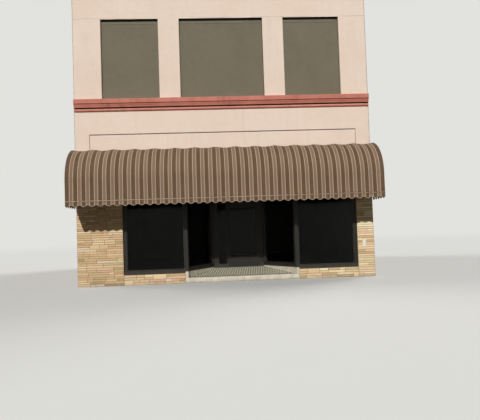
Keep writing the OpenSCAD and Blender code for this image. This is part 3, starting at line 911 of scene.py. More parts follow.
class Maker:
    """Geometry node trees that lay units and run cords, and the meshes they leave."""

    @cached_property
    def laying(self) -> Tree:
        """Lays a unit on each point, sized by the point, with a broken face."""
        taken = [Port("Geometry", "Geometry"), Port("Unit", "Object"), Port("Turn", "Vector"),
                 Port("Outward", "Vector"), Port("Relief"), Port("Lump", value=0.05), Port("Seed"),
                 Port("Finish", "Material")]
        given = [Port("Geometry", "Geometry")]
        graph, read, write = grouped("Laying", taken, given, "GeometryNodeTree")
        unit = graph.add("GeometryNodeObjectInfo", {"Object": read["Unit"]}).outputs["Geometry"]
        size = graph.add("GeometryNodeInputNamedAttribute", {"Name": "size"}, data_type="FLOAT_VECTOR")
        turn = graph.add("FunctionNodeEulerToRotation", {0: read["Turn"]}).outputs[0]
        laid = graph.add("GeometryNodeInstanceOnPoints", {
            "Points": read["Geometry"], "Instance": unit, "Rotation": turn, "Scale": size.outputs[0]})
        real = graph.add("GeometryNodeRealizeInstances", {0: laid.outputs[0]}).outputs[0]
        front = graph.add("GeometryNodeInputNamedAttribute", {"Name": "front"}).outputs[0]
        place = graph.add("GeometryNodeInputPosition").outputs[0]
        bumps = graph.add("ShaderNodeTexNoise", {
            "Vector": place, "W": read["Seed"], "Scale": graph.math("DIVIDE", 1.0, read["Lump"]),
            "Detail": 2.0}, noise_dimensions="4D").outputs[0]
        reach = graph.times(graph.math("SUBTRACT", bumps, 0.5), 2.0)
        reach = graph.times(graph.times(reach, front), read["Relief"])
        offset = graph.add("ShaderNodeVectorMath", {0: read["Outward"], "Scale": reach},
                           operation="SCALE")
        moved = graph.add("GeometryNodeSetPosition", {"Geometry": real, "Offset": offset.outputs[0]})
        done = graph.add("GeometryNodeSetMaterial", {
            "Geometry": moved.outputs[0], "Material": read["Finish"]}).outputs[0]
        graph.join(done, write["Geometry"])
        return graph.tree

    @cached_property
    def cording(self) -> Tree:
        """Runs a round cord along the edges of a mesh."""
        taken = [Port("Geometry", "Geometry"), Port("Radius", value=0.01), Port("Sides", "Int", 8),
                 Port("Finish", "Material")]
        given = [Port("Geometry", "Geometry")]
        graph, read, write = grouped("Cording", taken, given, "GeometryNodeTree")
        path = graph.add("GeometryNodeMeshToCurve", {0: read["Geometry"]}).outputs[0]
        ring = graph.add("GeometryNodeCurvePrimitiveCircle", {
            "Resolution": read["Sides"], "Radius": read["Radius"]}).outputs[0]
        tube = graph.add("GeometryNodeCurveToMesh", {
            "Curve": path, "Profile Curve": ring, "Fill Caps": True}).outputs[0]
        real = graph.add("GeometryNodeRealizeInstances", {0: tube}).outputs[0]
        done = graph.add("GeometryNodeSetMaterial", {
            "Geometry": real, "Material": read["Finish"]}).outputs[0]
        graph.join(done, write["Geometry"])
        return graph.tree

    def grow(self, piece: Piece, tree: Tree, values: dict[str, Any]) -> None:
        """Runs a tree on a piece and keeps the plain mesh that it gives.

        Args:
            piece: The piece that the tree works on.
            tree: The geometry node tree.
            values: Its inputs by name.
        """
        modifier = piece.modifiers.new(tree.name, "NODES")
        modifier.node_group = tree
        for item in tree.interface.items_tree:
            if item.in_out == "INPUT" and item.name in values:
                modifier[item.identifier] = values[item.name]
        piece.update_tag()
        graph = bpy.context.evaluated_depsgraph_get()
        data = bpy.data.meshes.new_from_object(
            piece.evaluated_get(graph), preserve_all_data_layers=True, depsgraph=graph)
        piece.modifiers.clear()
        piece.data = data

    def lay(self, name: str, units: list[Unit], unit: Mesh, coat: Coat, turn: Point,
            outward: Vector, relief: float = 0.0, seed: float = 0.0) -> Piece:
        """Lays units as one mesh.

        Args:
            name: Name of the piece.
            units: Places, sizes and tints.
            unit: Mesh of one unit, a metre wide, deep and high, that faces -Y.
            coat: Finish of the units.
            turn: Turn of every unit, in radians about each axis.
            outward: Direction that their faces look.
            relief: Height of the broken faces.
            seed: Number that sets the broken faces apart.

        Returns:
            The piece.
        """
        data = meshed(name, [u.middle for u in units])
        sizes = data.attributes.new("size", "FLOAT_VECTOR", "POINT")
        sizes.data.foreach_set("vector", [part for u in units for part in u.size])
        tints = data.attributes.new("tint", "FLOAT", "POINT")
        tints.data.foreach_set("value", [u.tint for u in units])
        piece = shown(name, data)
        source = shown(name + "_unit", unit)
        self.grow(piece, self.laying, {"Unit": source, "Turn": turn, "Outward": tuple(outward),
                                       "Relief": relief, "Seed": seed, "Finish": coat.material})
        bpy.data.objects.remove(source)
        return piece

    def cord(self, name: str, path: list[Point], radius: float, sides: int, coat: Coat) -> Piece:
        """Runs a cord with a number of sides along a path."""
        piece = shown(name, meshed(name, path, edges=[(i, i + 1) for i in range(len(path) - 1)]))
        self.grow(piece, self.cording, {"Radius": radius, "Sides": sides, "Finish": coat.material})
        return piece


MAKER = Maker()


def block_unit(name: str, xs: list[float], zs: list[float], arris: float) -> Mesh:
    """Mesh of a unit whose face is a grid and whose back is open against the wall.

    Args:
        name: Name of the mesh.
        xs: Places of the grid's lines along its width, from -0.5 to 0.5.
        zs: Places of the grid's lines along its height, from -0.5 to 0.5.
        arris: How far the face's outer lines stand back, as a share of the depth.

    Returns:
        The mesh, with the front attribute at 1 inside the face's outer lines.
    """
    points, fronts, faces = [], [], []
    for z in zs:
        for x in xs:
            edge = abs(x) == 0.5 or abs(z) == 0.5
            points.append((x, -1.0 + (arris if edge else 0.0), z))
            fronts.append(0.0 if edge else 1.0)
    wide = len(xs)
    for row in range(len(zs) - 1):
        for column in range(wide - 1):
            first = row * wide + column
            faces.append((first, first + 1, first + wide + 1, first + wide))
    last = len(zs) - 1
    rim = [*range(wide), *(r * wide + wide - 1 for r in range(1, len(zs))),
           *(last * wide + c for c in range(wide - 2, -1, -1)),
           *(r * wide for r in range(last - 1, 0, -1))]
    back, count = len(points), len(rim)
    points += [(points[i][0], 0.5, points[i][2]) for i in rim]
    fronts += [0.0] * count
    faces += [(rim[i], back + i, back + (i + 1) % count, rim[(i + 1) % count]) for i in range(count)]
    faces.append(tuple(back + i for i in range(count)))
    data = meshed(name, points, faces)
    data.attributes.new("front", "FLOAT", "POINT").data.foreach_set("value", fronts)
    return data


@dataclass(frozen=True)
class Lamp:
    """A far lamp: its name, the way it shines, its strength and its angle in degrees."""

    name: str
    way: Point
    power: float
    spread: float

    def build(self) -> None:
        """Adds the lamp to the scene."""
        light = bpy.data.lights.new(self.name, "SUN")
        light.energy = self.power
        light.angle = math.radians(self.spread)
        light.cycles.use_multiple_importance_sampling = False
        turn = Vector(self.way).to_track_quat("-Z", "Y")
        shown(self.name, light).rotation_euler = turn.to_euler()


@dataclass
class Studio:
    """Floor, background, lamps and the camera.

    Attributes:
        pale: Colour of the floor and the background as they are seen.
        bounce: Colour of the floor as it throws light back on the building.
        floor_size: Side of the floor.
        fade: Distances from the building between which the floor fades into the background.
        lamps: The main lamp, which stands for the sun, and soft ones for the other sides.
        sky_power: Strength of the even light from all sides.
        camera_place: Place of the camera.
        yaw: Turn of the camera towards +X in degrees.
        pitch: Tilt of the camera upwards in degrees.
        roll: Turn of the camera about its own axis in degrees.
        lens: Focal length in millimetres on a sensor 36 mm wide.
    """

    pale: Colour = (226, 226, 222)
    bounce: Colour = (108, 104, 96)
    floor_size: float = 600.0
    fade: Pair = (22.0, 90.0)
    lamps: tuple[Lamp, ...] = (Lamp("Key", (0.2, 1.0, -0.585), 2.85, 0.8),
                               Lamp("Rear_fill", (-0.85, -0.8, -0.55), 1.6, 30.0),
                               Lamp("Side_fill", (1.0, -0.45, -0.5), 1.2, 30.0))
    sky_power: float = 0.1
    camera_place: Point = (-0.54, -23.03, 1.53)
    yaw: float = 3.21
    pitch: float = 2.22
    roll: float = 1.96
    lens: float = 41.17

    def floor(self) -> None:
        """Lays a pale floor that fades into the background far away."""
        half = self.floor_size / 2
        corners = [(-half, -half, 0), (half, -half, 0), (half, half, 0), (-half, half, 0)]
        data = meshed("studio_floor", corners, [(0, 1, 2, 3)])
        made = bpy.data.materials.new("Studio_floor")
        graph = emptied(made)
        place = graph.add("ShaderNodeTexCoord").outputs["Object"]
        away = graph.add("ShaderNodeVectorMath", {0: place}, operation="LENGTH").outputs["Value"]
        thrown = graph.add("ShaderNodeLightPath").outputs["Is Diffuse Ray"]
        colour = graph.blend(thrown, linear(self.pale), linear(self.bounce))
        cover = graph.add("ShaderNodeBsdfDiffuse", {"Color": colour}).outputs[0]
        glow = graph.add("ShaderNodeEmission", {"Color": linear(self.pale)}).outputs[0]
        share = graph.ramp(away, *self.fade)
        both = graph.add("ShaderNodeMixShader", {0: share, 1: cover, 2: glow})
        graph.add("ShaderNodeOutputMaterial", {"Surface": both.outputs[0]})
        data.materials.append(made)
        shown("studio_floor", data)

    def sky(self) -> None:
        """Lights the scene evenly, and shows the pale background to camera, gloss and glass."""
        world = bpy.data.worlds.new("Studio")
        bpy.context.scene.world = world
        graph = emptied(world)
        rays = graph.add("ShaderNodeLightPath").outputs
        seen = graph.math("MAXIMUM", rays["Is Camera Ray"], rays["Is Glossy Ray"])
        seen = graph.math("MAXIMUM", seen, rays["Is Transmission Ray"])
        kind, white = "ShaderNodeBackground", (1, 1, 1, 1)
        even = graph.add(kind, {"Color": white, "Strength": self.sky_power}).outputs[0]
        back = graph.add(kind, {"Color": linear(self.pale), "Strength": 1.0}).outputs[0]
        both = graph.add("ShaderNodeMixShader", {0: seen, 1: even, 2: back})
        graph.add("ShaderNodeOutputWorld", {"Surface": both.outputs[0]})

    def camera(self) -> None:
        """Sets the camera at the photograph's place, turned as it was."""
        yaw, pitch, roll = (math.radians(a) for a in (self.yaw, self.pitch, self.roll))
        turn = (Matrix.Rotation(-yaw, 4, "Z") @ Matrix.Rotation(math.pi / 2 + pitch, 4, "X")
                @ Matrix.Rotation(-roll, 4, "Z"))
        eye = bpy.data.cameras.new("Camera")
        eye.lens = self.lens
        eye.sensor_width = 36.0
        eye.clip_end = 1000.0
        made = shown("Camera", eye)
        made.matrix_world = Matrix.Translation(self.camera_place) @ turn
        bpy.context.scene.camera = made

    def build(self) -> None:
        """Sets up the whole studio."""
        bpy.context.scene.view_settings.view_transform = "Standard"
        self.camera()
        self.floor()
        self.sky()
        for lamp in self.lamps:
            lamp.build()


@dataclass
class Walls:
    """Stuccoed storeys, plastered inner faces and the recessed panel.

    Attributes:
        soften: Width of the stucco's rounded corners.
        joint: Width of the dark joint over the recessed panel, which is painted shade.
        side_joint: Width of the dark joint at its sides, which is painted shade.
        bead: Height of the stucco bead at the window heads.
    """

    soften: float = 0.012
    joint: float = 0.016
    side_joint: float = 0.008
    bead: float = 0.022

    def build(self) -> None:
        """Dresses the upper walls, and the party walls behind their bricks."""
        inner_y = abs(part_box("front_upper_wall")[1].y)
        wall_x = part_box("front_upper_wall")[1].x
        near, core_edge = 0.02, 0.006
        # Inner faces here and on the party walls take the darkened plaster, which is painted shade.
        inner = Zone(Coat.DARKENED_PLASTER, lambda n, m: abs(abs(m.y) - inner_y) < near)
        end = Zone(Coat.BRICK_MORTAR, lambda n, m: abs(n.x) > SQUARE_ON and abs(m.x) > wall_x - near)
        for side in ("front", "rear"):
            recast(f"{side}_upper_wall", f"stuccoed_{side}", self.soften, Coat.STUCCO, Slot.STUCCO,
                   inner, end)
        for node, way in (("left_party_wall", 1.0), ("right_party_wall", -1.0)):
            inside = Zone(Coat.DARKENED_PLASTER, lambda n, m, way=way: n.x * way > 0.5)
            recast(node, node + "_core", core_edge, Coat.BRICK_MORTAR, Slot.BRICK, inside)
        dress(Coat.STUCCO, "transom_panel")
        self.recess_joint()
        self.head_beads()
        self.parapet_coat()

    def recess_joint(self) -> None:
        """Lines the head and sides of the recessed panel with dark strips, painted shade that deepens
        its shadow lines.
        """
        low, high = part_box("transom_panel")
        out, span = 0.0015, (low.x, high.x, low.z, high.z)
        solid = Solid()
        for x0, x1, z0, z1 in border(span, self.side_joint, 0.0, self.joint)[1:]:
            solid.box((x0, low.y - out, z0), (x1, low.y, z1))
        fit(solid.piece("recess_joint"), Coat.JOINT_SHADE, Slot.STUCCO)

    def head_beads(self) -> None:
        """Ends the stucco at the front window heads, with the bead's underside in the dark joint colour
        as painted shade.
        """
        face_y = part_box("front_upper_wall")[0].y
        under = Zone(Coat.JOINT_SHADE, lambda n, m: n.z < -SQUARE_ON)
        solid = Solid()
        for where in ("left", "centre", "right"):
            low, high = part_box(f"front_{where}_window_panel")
            solid.box((low.x, face_y, high.z - self.bead), (high.x, low.y, high.z + self.soften))
        fit(zoned(solid.piece("window_head_beads"), Coat.STUCCO, under), None, Slot.STUCCO)

    def parapet_coat(self) -> None:
        """Coats the inner faces of the parapets with cement."""
        low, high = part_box("roof_deck")
        roof_z, top, coat = high.z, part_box("front_coping")[0].z, PARAPET_COAT
        solid = Solid()
        for left, right, front, rear in border((low.x, high.x, low.y, high.y), coat, coat, coat):
            solid.box((left, front, roof_z), (right, rear, top))
        fit(solid.piece("parapet_coat"), Coat.PARGING, Slot.STUCCO)


@dataclass
class StoneFacing:
    """Thin split stones in courses, on the piers, under the show windows and on the rear wall.

    Attributes:
        course: Height of one course with its joint.
        joint: Width of a joint.
        proud: How far the stones stand out of their mortar.
        depths: Least and greatest share of that distance.
        relief: Height of their broken faces.
        shortest: Length of the shortest stone.
        longest: Length of the longest stone.
        tall_limit: Length under which a stone may be two courses high.
        tall_share: Share of those stones that are.
        cut_limit: Length over which a stone may be cut in two.
        cut_share: Share of those stones that are.
        cut_shift: How far off its middle a stone may be cut.
    """

    course: float = 0.07
    joint: float = 0.011
    proud: float = 0.010
    depths: Pair = (0.8, 1.25)
    relief: float = 0.006
    shortest: float = 0.17
    longest: float = 0.62
    tall_limit: float = 0.42
    tall_share: float = 0.192
    cut_limit: float = 0.44
    cut_share: float = 0.4
    cut_shift: float = 0.1

    def row(self, x0: float, x1: float, draw: random.Random) -> list[Pair]:
        """Cuts a stretch into stones of differing length."""
        cuts = [x0]
        while x1 - cuts[-1] > self.longest:
            length = draw.uniform(self.shortest, self.longest)
            cuts.append(min(cuts[-1] + length, x1 - self.shortest))
        cuts.append(x1)
        return list(zip(cuts, cuts[1:]))

    def courses(self, span: Span, y: float, draw: random.Random) -> list[Unit]:
        """Lays out the stones of one wall face.

        Args:
            span: Left end, right end, foot and top of the face.
            y: Place of the face.
            draw: Source of the stones' lengths and tints.

        Returns:
            The stones.
        """
        x0, x1, z0, z1 = span
        stones = []

        def lay(left: float, right: float, low: float, high: float) -> None:
            """Adds one stone with its joints taken off."""
            depth = self.proud * draw.uniform(*self.depths)
            size = (right - left - self.joint, depth, high - low - self.joint)
            stones.append(Unit(((left + right) / 2, y, (low + high) / 2), size, draw.random()))

        count = max(1, round((z1 - z0) / self.course))
        height = (z1 - z0) / count
        for number in range(0, count, 2):
            low = z0 + number * height
            for left, right in self.row(x0, x1, draw):
                if number == count - 1:
                    lay(left, right, low, low + height)
                    continue
                if right - left < self.tall_limit and draw.random() < self.tall_share:
                    lay(left, right, low, low + 2 * height)
                    continue
                for foot in (low, low + height):
                    half = (left + right) / 2 + draw.uniform(-self.cut_shift, self.cut_shift)
                    parts = [(left, right)]
                    if right - left > self.cut_limit and draw.random() < self.cut_share:
                        parts = [(left, half), (half, right)]
                    for start, end in parts:
                        lay(start, end, foot, foot + height)
        return stones

    def face(self, name: str, node: str, facing: Facing, coat: Coat, seed: int) -> None:
        """Lays the stones on the outer face of a node.

        Args:
            name: Name of the stones.
            node: Node of the wall.
            facing: Way the face looks.
            coat: Finish of the stones.
            seed: Number that sets this face's stones apart.
        """
        low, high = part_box(node)
        y = low.y if facing is Facing.STREET else high.y
        stones = self.courses((low.x, high.x, low.z, high.z), y, random.Random(seed))
        across, up = [-0.5, -0.47, -0.2, 0.12, 0.47, 0.5], [-0.5, -0.36, 0.0, 0.36, 0.5]
        unit = block_unit(name + "_block", across, up, 0.5)
        piece = MAKER.lay(name, stones, unit, coat, (0, 0, facing.value), facing.outward,
                          self.relief, seed)
        fit(piece, None, Slot.STONE)

    def build(self) -> None:
        """Lays all the stone faces on their mortar."""
        faces = (("left_stone_pier", Facing.STREET, Coat.GOLDEN_STONE),
                 ("right_stone_pier", Facing.STREET, Coat.PALE_STONE),
                 ("left_stone_base", Facing.STREET, Coat.STONE),
                 ("right_stone_base", Facing.STREET, Coat.PALE_STONE),
                 ("rear_stone_wall", Facing.REAR, Coat.STONE))
        for seed, (node, facing, coat) in enumerate(faces, 11):
            # The stones' beds take the darkened plaster on their inner faces, which is painted shade.
            inner = Zone(Coat.DARKENED_PLASTER, lambda n, m, way=-facing.outward: n.dot(way) > 0.5)
            recast(node, node + "_bed", 0.004, Coat.MORTAR, Slot.STONE, inner)
            self.face(node + "_stones", node, facing, coat, seed)


@dataclass
class Brickwork:
    """Brick faces of the two party walls, in running bond.

    Attributes:
        length: Length of a brick.
        height: Height of a brick.
        joint: Width of a joint.
        proud: How far the bricks stand out of their mortar.
        depths: Least and greatest share of that distance.
    """

    length: float = 0.203
    height: float = 0.057
    joint: float = 0.010
    proud: float = 0.005
    depths: Pair = (0.7, 1.3)

    def courses(self, span: Span, x: float, draw: random.Random) -> list[Unit]:
        """Lays out the bricks of one side.

        Args:
            span: Front end, rear end, foot and top of the side.
            x: Place of the side.
            draw: Source of the bricks' depths and tints.

        Returns:
            The bricks.
        """
        y0, y1, z0, z1 = span
        count = round((z1 - z0) / (self.height + self.joint))
        rise = (z1 - z0) / count
        across = round((y1 - y0) / (self.length + self.joint))
        pitch = (y1 - y0) / across
        bricks = []
        for row in range(count):
            cuts = [y0 + (i - 0.5 * (row % 2)) * pitch for i in range(across + 1 + row % 2)]
            cuts = [min(max(cut, y0), y1) for cut in [*cuts, y1]]
            for start, end in zip(cuts, cuts[1:]):
                if end - start < 2 * self.joint:
                    continue
                depth = self.proud * draw.uniform(*self.depths)
                size = (end - start - self.joint, depth, rise - self.joint)
                middle = (x, (start + end) / 2, z0 + (row + 0.5) * rise)
                bricks.append(Unit(middle, size, draw.random()))
        return bricks

    def build(self) -> None:
        """Lays the bricks of both sides."""
        low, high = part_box("front_upper_wall")
        span = (low.y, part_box("rear_upper_wall")[1].y, 0.0, high.z)
        sides = (("left", low.x, Facing.LEFT), ("right", high.x, Facing.RIGHT))
        for seed, (side, x, facing) in enumerate(sides, 31):
            name = f"{side}_side_bricks"
            bricks = self.courses(span, x, random.Random(seed))
            unit = block_unit(name + "_brick", [-0.5, 0.5], [-0.5, 0.5], 0.0)
            piece = MAKER.lay(name, bricks, unit, Coat.BRICK, (0, 0, facing.value), facing.outward)
            fit(piece, None, Slot.BRICK)


@dataclass
class BeltCourse:
    """Moulded belt course under the upper windows, made in lengths.

    Attributes:
        lengths: Number of lengths on a wall.
        gap: Width of the joint between two lengths.
        nose: Radius of the top member's nose.
        groove: Depth of the groove in the middle member.
        top_out: How far the top member stands out of the wall.
        middle_out: How far the middle member stands out at its top.
        rake: How far the middle member falls back towards its foot.
        cove_out: How far the hollow over the bead stands out.
        bead_out: How far the bead stands out.
        bead: Height of the bead.
    """

    lengths: int = 4
    gap: float = 0.004
    nose: float = 0.012
    groove: float = 0.008
    top_out: float = 0.120
    middle_out: float = 0.098
    rake: float = 0.028
    cove_out: float = 0.010
    bead_out: float = 0.058
    bead: float = 0.085

    def section(self) -> list[Pair]:
        """Outline of the moulding, in distance from the wall and height below the sill."""
        out, fall, n, low_out = self.top_out, 0.034, self.nose, self.middle_out - self.rake
        top, middle, foot = 0.165, 0.184, 0.287
        back = self.middle_out - 0.016
        points = [(0.0, 0.0), (out - n, fall - 0.001), (out - 0.3 * n, fall + 0.3 * n), (out, fall + n),
                  (out, top - 0.004), (out - 0.008, top + 0.002), (back, top + 0.004),
                  (back, middle - 0.005), (self.middle_out, middle)]
        for drop, depth in ((0.221, 0.0), (0.224, self.groove), (0.232, self.groove), (0.235, 0.0)):
            share = (drop - middle) / (foot - middle)
            points.append((mixed(self.middle_out, low_out, share) - depth, drop))
        points += [(low_out, foot - 0.006), (low_out - 0.008, foot), (self.cove_out, foot + 0.001)]
        head, radius, rounds = 0.403 - self.bead, self.bead / 2, 10
        points.append((self.cove_out, head - 0.001))
        for i in range(rounds + 1):
            turn = math.pi * (i / rounds - 0.5)
            reach = self.bead_out - radius + radius * math.cos(turn)
            points.append((reach, head + radius + radius * math.sin(turn)))
        return [*points, (0.004, 0.404), (0.0, 0.407)]

    def build(self) -> None:
        """Runs the moulding along both walls."""
        for where, way in (("front", -1.0), ("rear", 1.0)):
            low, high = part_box(f"{where}_belt_course")
            wall_y = high.y if way < 0 else low.y
            bead_z, cove_z, near = high.z - 0.305, high.z - 0.303, 0.02
            solid = Solid()
            outline = [(out, -drop) for out, drop in self.section()]
            for span in even_lengths(low.x, high.x, self.lengths, self.gap):
                ends = [Vector((x, wall_y, high.z)) for x in span]
                solid.prism(outline, *ends, Vector((0, way, 0)))
            # The bead takes the paler paint, a painted highlight; the hollow over it takes the dark
            # joint colour, painted shade.
            bead = Zone(Coat.BELT_HIGHLIGHT, lambda n, m: m.z < bead_z and n.z > -0.2)
            cove = Zone(Coat.JOINT_SHADE,
                        lambda n, m: abs(m.z - cove_z) < near and abs(m.y - wall_y) < 2 * near)
            piece = zoned(solid.piece(f"{where}_belt_lengths"), Coat.BELT, bead, cove)
            fit(piece, None, Slot.BELT, f"{where}_belt_course")


@dataclass
class WindowPanels:
    """Sheet panels that close the upper windows, with trims and screws round their edges.

    Attributes:
        trim: Width of the trim at the sides and the foot.
        head_trim: Height of the trim at the head.
        trim_out: How far the trim stands out of the panel.
        sheet_t: Thickness of a panel.
        soften: Width of the bevelled edges.
        joint: Width of the dark joint at the sides of a panel, which is painted shade.
        head_joint: Height of the dark joint over a panel, which is painted shade under the window head.
        screw_step: Distance between two screws.
        screw: Radius of a screw's head.
    """

    trim: float = 0.032
    head_trim: float = 0.105
    trim_out: float = 0.008
    sheet_t: float = 0.02
    soften: float = 0.002
    joint: float = 0.014
    head_joint: float = 0.050
    screw_step: float = 0.30
    screw: float = 0.006

    def panel(self, solids: tuple[Solid, Solid, Solid], low: Vector, high: Vector,
              side: float) -> list[Unit]:
        """Adds one panel with its trims and its joint.

        Args:
            solids: Shapes that the sheet, the trims and the joint go into.
            low: Lowest corner of the panel.
            high: Highest corner of the panel.
            side: -1 where it faces the street and 1 where it faces the rear.

        Returns:
            The screws in its trims.
        """
        sheet, trims, joints = solids
        t, h, j = self.trim, self.head_trim, self.joint
        sunk, head_out, tint = 0.012, 0.003, 0.5
        face, back = (low.y, high.y) if side < 0 else (high.y, low.y)
        bottom = face - side * sunk
        # A dark sheet behind the panel shows in the joints at its head and sides: painted shade.
        joints.box((low.x, back, low.z), (high.x, bottom, high.z))
        low, high = low + Vector((j, 0, 0)), high - Vector((j, 0, self.head_joint))
        sheet.box((low.x, face, low.z), (high.x, face - side * self.sheet_t, high.z), self.soften)
        y = face + side * self.trim_out
        for x0, x1, z0, z1 in border((low.x, high.x, low.z, high.z), t, t, h):
            trims.box((x0, face, z0), (x1, y, z1), self.soften)
        size = (2 * self.screw, head_out, 2 * self.screw)
        wide = round((high.x - low.x) / self.screw_step)
        tall = round((high.z - low.z) / self.screw_step)
        places = [(mixed(low.x, high.x, (i + 0.5) / wide), z) for i in range(wide)
                  for z in (low.z + t / 2, high.z - h / 2)]
        places += [(x, mixed(low.z, high.z, (i + 0.5) / tall)) for i in range(tall)
                   for x in (low.x + t / 2, high.x - t / 2)]
        return [Unit((x, y, z), size, tint) for x, z in places]

    def screw_head(self, name: str) -> Mesh:
        """Mesh of a low round head, a metre across and high."""
        sides = 8
        rings = [(0.5, 0.2), (0.5, -0.4), (0.3, -1.0)]
        turns = [2 * math.pi * i / sides for i in range(sides)]
        points = [(radius * math.cos(turn), y, radius * math.sin(turn))
                  for radius, y in rings for turn in turns]
        faces = [tuple(range(sides)), tuple(reversed(range(2 * sides, 3 * sides)))]
        for ring in (0, sides):
            for i in range(sides):
                here, after = ring + i, ring + (i + 1) % sides
                faces.append((here, here + sides, after + sides, after))
        return meshed(name, points, faces)

    def build(self) -> None:
        """Makes the panels of both walls."""
        trims, joints, rear_sheets = Solid(), Solid(), Solid()
        rear_low, rear_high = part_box("rear_window_panels")
        front, rear = [], []
        for where in ("left", "centre", "right"):
            node = f"front_{where}_window_panel"
            low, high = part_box(node)
            sheet = Solid()
            front += self.panel((sheet, trims, joints), low, high, -1.0)
            fit(sheet.piece(f"front_{where}_panel_sheet"), Coat.PANEL, Slot.PANEL, node)
            low, high = Vector((low.x, *rear_low.yz)), Vector((high.x, *rear_high.yz))
            rear += self.panel((rear_sheets, trims, joints), low, high, 1.0)
        fit(rear_sheets.piece("rear_panel_sheets"), Coat.PANEL, Slot.PANEL, "rear_window_panels")
        fit(trims.piece("window_panel_trims"), Coat.PANEL_EDGE, Slot.PANEL)
        # The dark sheets behind the panels are painted shade.
        fit(joints.piece("window_panel_joints"), Coat.JOINT_SHADE, Slot.PANEL)
        for name, screws, facing in (("front_panel_screws", front, Facing.STREET),
                                     ("rear_panel_screws", rear, Facing.REAR)):
            piece = MAKER.lay(name, screws, self.screw_head(name + "_head"), Coat.FLASHING,
                              (0, 0, facing.value), facing.outward)
            fit(piece, None, Slot.PANEL)


@dataclass
class Copings:
    """Coping stones on the four walls.

    Attributes:
        length: Length of a stone.
        joint: Width of a joint.
        bed: How far the mortar in the joints stands back.
        soften: Width of the stones' worn edges.
    """

    length: float = 1.2
    joint: float = 0.010
    bed: float = 0.012
    soften: float = 0.009

    def row(self, name: str, node: str, low: Vector, high: Vector, axis: int) -> None:
        """Lays one row of stones.

        Args:
            name: Name of the row.
            node: Node that it stands for, or nothing.
            low: Lowest corner of the row.
            high: Highest corner of the row.
            axis: Number of the axis that it runs along.
        """
        stones, joints = Solid(), Solid()
        count = round((high[axis] - low[axis]) / self.length)
        for span in even_lengths(low[axis], high[axis], count, self.joint):
            start, end = low.copy(), high.copy()
            start[axis], end[axis] = span
            stones.box(tuple(start), tuple(end), self.soften)
        inset, end_inset = Vector((self.bed, self.bed, 0)), 0.02
        inset[axis] = end_inset
        joints.box(tuple(low + inset), tuple(high - inset - Vector((0, 0, self.bed))))
        fit(joints.piece(name + "_joints"), Coat.MORTAR, Slot.COPING)
        fit(stones.piece(name), Coat.COPING, Slot.COPING, *([node] if node else []))

    def build(self) -> None:
        """Lays the stones of all four walls."""
        for node in ("front_coping", "rear_coping"):
            self.row(node + "_stones", node, *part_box(node), 0)
        low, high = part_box("party_wall_copings")
        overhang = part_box("front_coping")[1].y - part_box("front_upper_wall")[1].y
        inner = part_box("roof_deck")[1].x - overhang
        self.row("left_coping_stones", "party_wall_copings", low, Vector((-inner, high.y, high.z)), 1)
        self.row("right_coping_stones", "", Vector((inner, low.y, low.z)), high, 1)


@dataclass
class Roof:
    """Felt roof in strips, turned up against the parapets under metal flashings.

    Attributes:
        strip: Width of a strip.
        lap: Width of the lap between two strips.
        felt: Thickness of the felt.
        upstand: Height of the felt on the parapets.
        fillet: Size of the slope at the parapets' foot.
    """

    strip: float = 0.92
    lap: float = 0.08
    felt: float = 0.005
    upstand: float = 0.28
    fillet: float = 0.07

    def build(self) -> None:
        """Makes the laps, the felt upstands and the flashings."""
        low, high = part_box("roof_deck")
        dress(Coat.ROOFING, "roof_deck")
        laps = Solid()
        y = low.y + self.strip
        last_strip, lap_edge = 0.3, 0.002
        while y < high.y - last_strip:
            laps.box((low.x, y, high.z), (high.x, y + self.lap, high.z + self.felt), lap_edge)
            y += self.strip
        fit(laps.piece("roof_felt_laps"), Coat.LAPS, Slot.ROOFING)
        felt, metal = Solid(), Solid()
        coat, f, t, up = PARAPET_COAT, self.fillet, self.felt, self.upstand
        out, foot = coat + t, f + 0.12
        turned = [(coat, 0.0), (foot, 0.0), (foot, t), (f + coat, t), (out, f), (out, up), (coat, up)]
        cover = [(coat, up - 0.06), (out, up - 0.06), (out + 0.012, up - 0.075),
                 (out + 0.014, up - 0.073), (out + 0.002, up - 0.055), (out + 0.002, up + 0.025),
                 (coat, up + 0.03)]
        plan = ((low.x, low.y), (high.x, low.y), (high.x, high.y), (low.x, high.y))
        corners = [Vector((x, y, high.z)) for x, y in plan]
        for i, way in enumerate(((0, 1, 0), (-1, 0, 0), (0, -1, 0), (1, 0, 0))):
            felt.prism(turned, corners[i], corners[(i + 1) % 4], Vector(way))
            metal.prism(cover, corners[i], corners[(i + 1) % 4], Vector(way))
        fit(felt.piece("roof_felt_upstands"), Coat.ROOFING, Slot.ROOFING)
        fit(metal.piece("roof_flashings"), Coat.FLASHING, Slot.ROOFING)


@dataclass
class Floors:
    """Floors inside the building, with the ceiling under the upper one."""

    def build(self) -> None:
        """Gives the floors their boards and the ceiling the darkened plaster, which is painted shade."""
        edge, boards = 0.003, Zone(Coat.BOARDS, lambda n, m: n.z > SQUARE_ON)
        for node, name in (("ground_floor", "shop_floor"), ("upper_floor", "upper_floor_slab")):
            slot = Slot.BOARDS if node == "upper_floor" else Slot.CONCRETE
            recast(node, name, edge, Coat.DARKENED_PLASTER, slot, boards)


@dataclass(frozen=True)
class Line:
    """A wall line in plan, from which a point's distance along, behind and up are measured."""

    start: Vector
    along: Vector
    behind: Vector

    @classmethod
    def between(cls, start: Pair, end: Pair, side: float) -> "Line":
        """Line between two points, with the side at which its back lies."""
        first = Vector((*start, 0.0))
        along = (Vector((*end, 0.0)) - first).normalized()
        return cls(first, along, Vector((-along.y, along.x, 0.0)) * side)

    def place(self, along: float, behind: float, up: float) -> Point:
        """Point at the given distances."""
        return tuple(self.start + self.along * along + self.behind * behind + Vector((0, 0, up)))


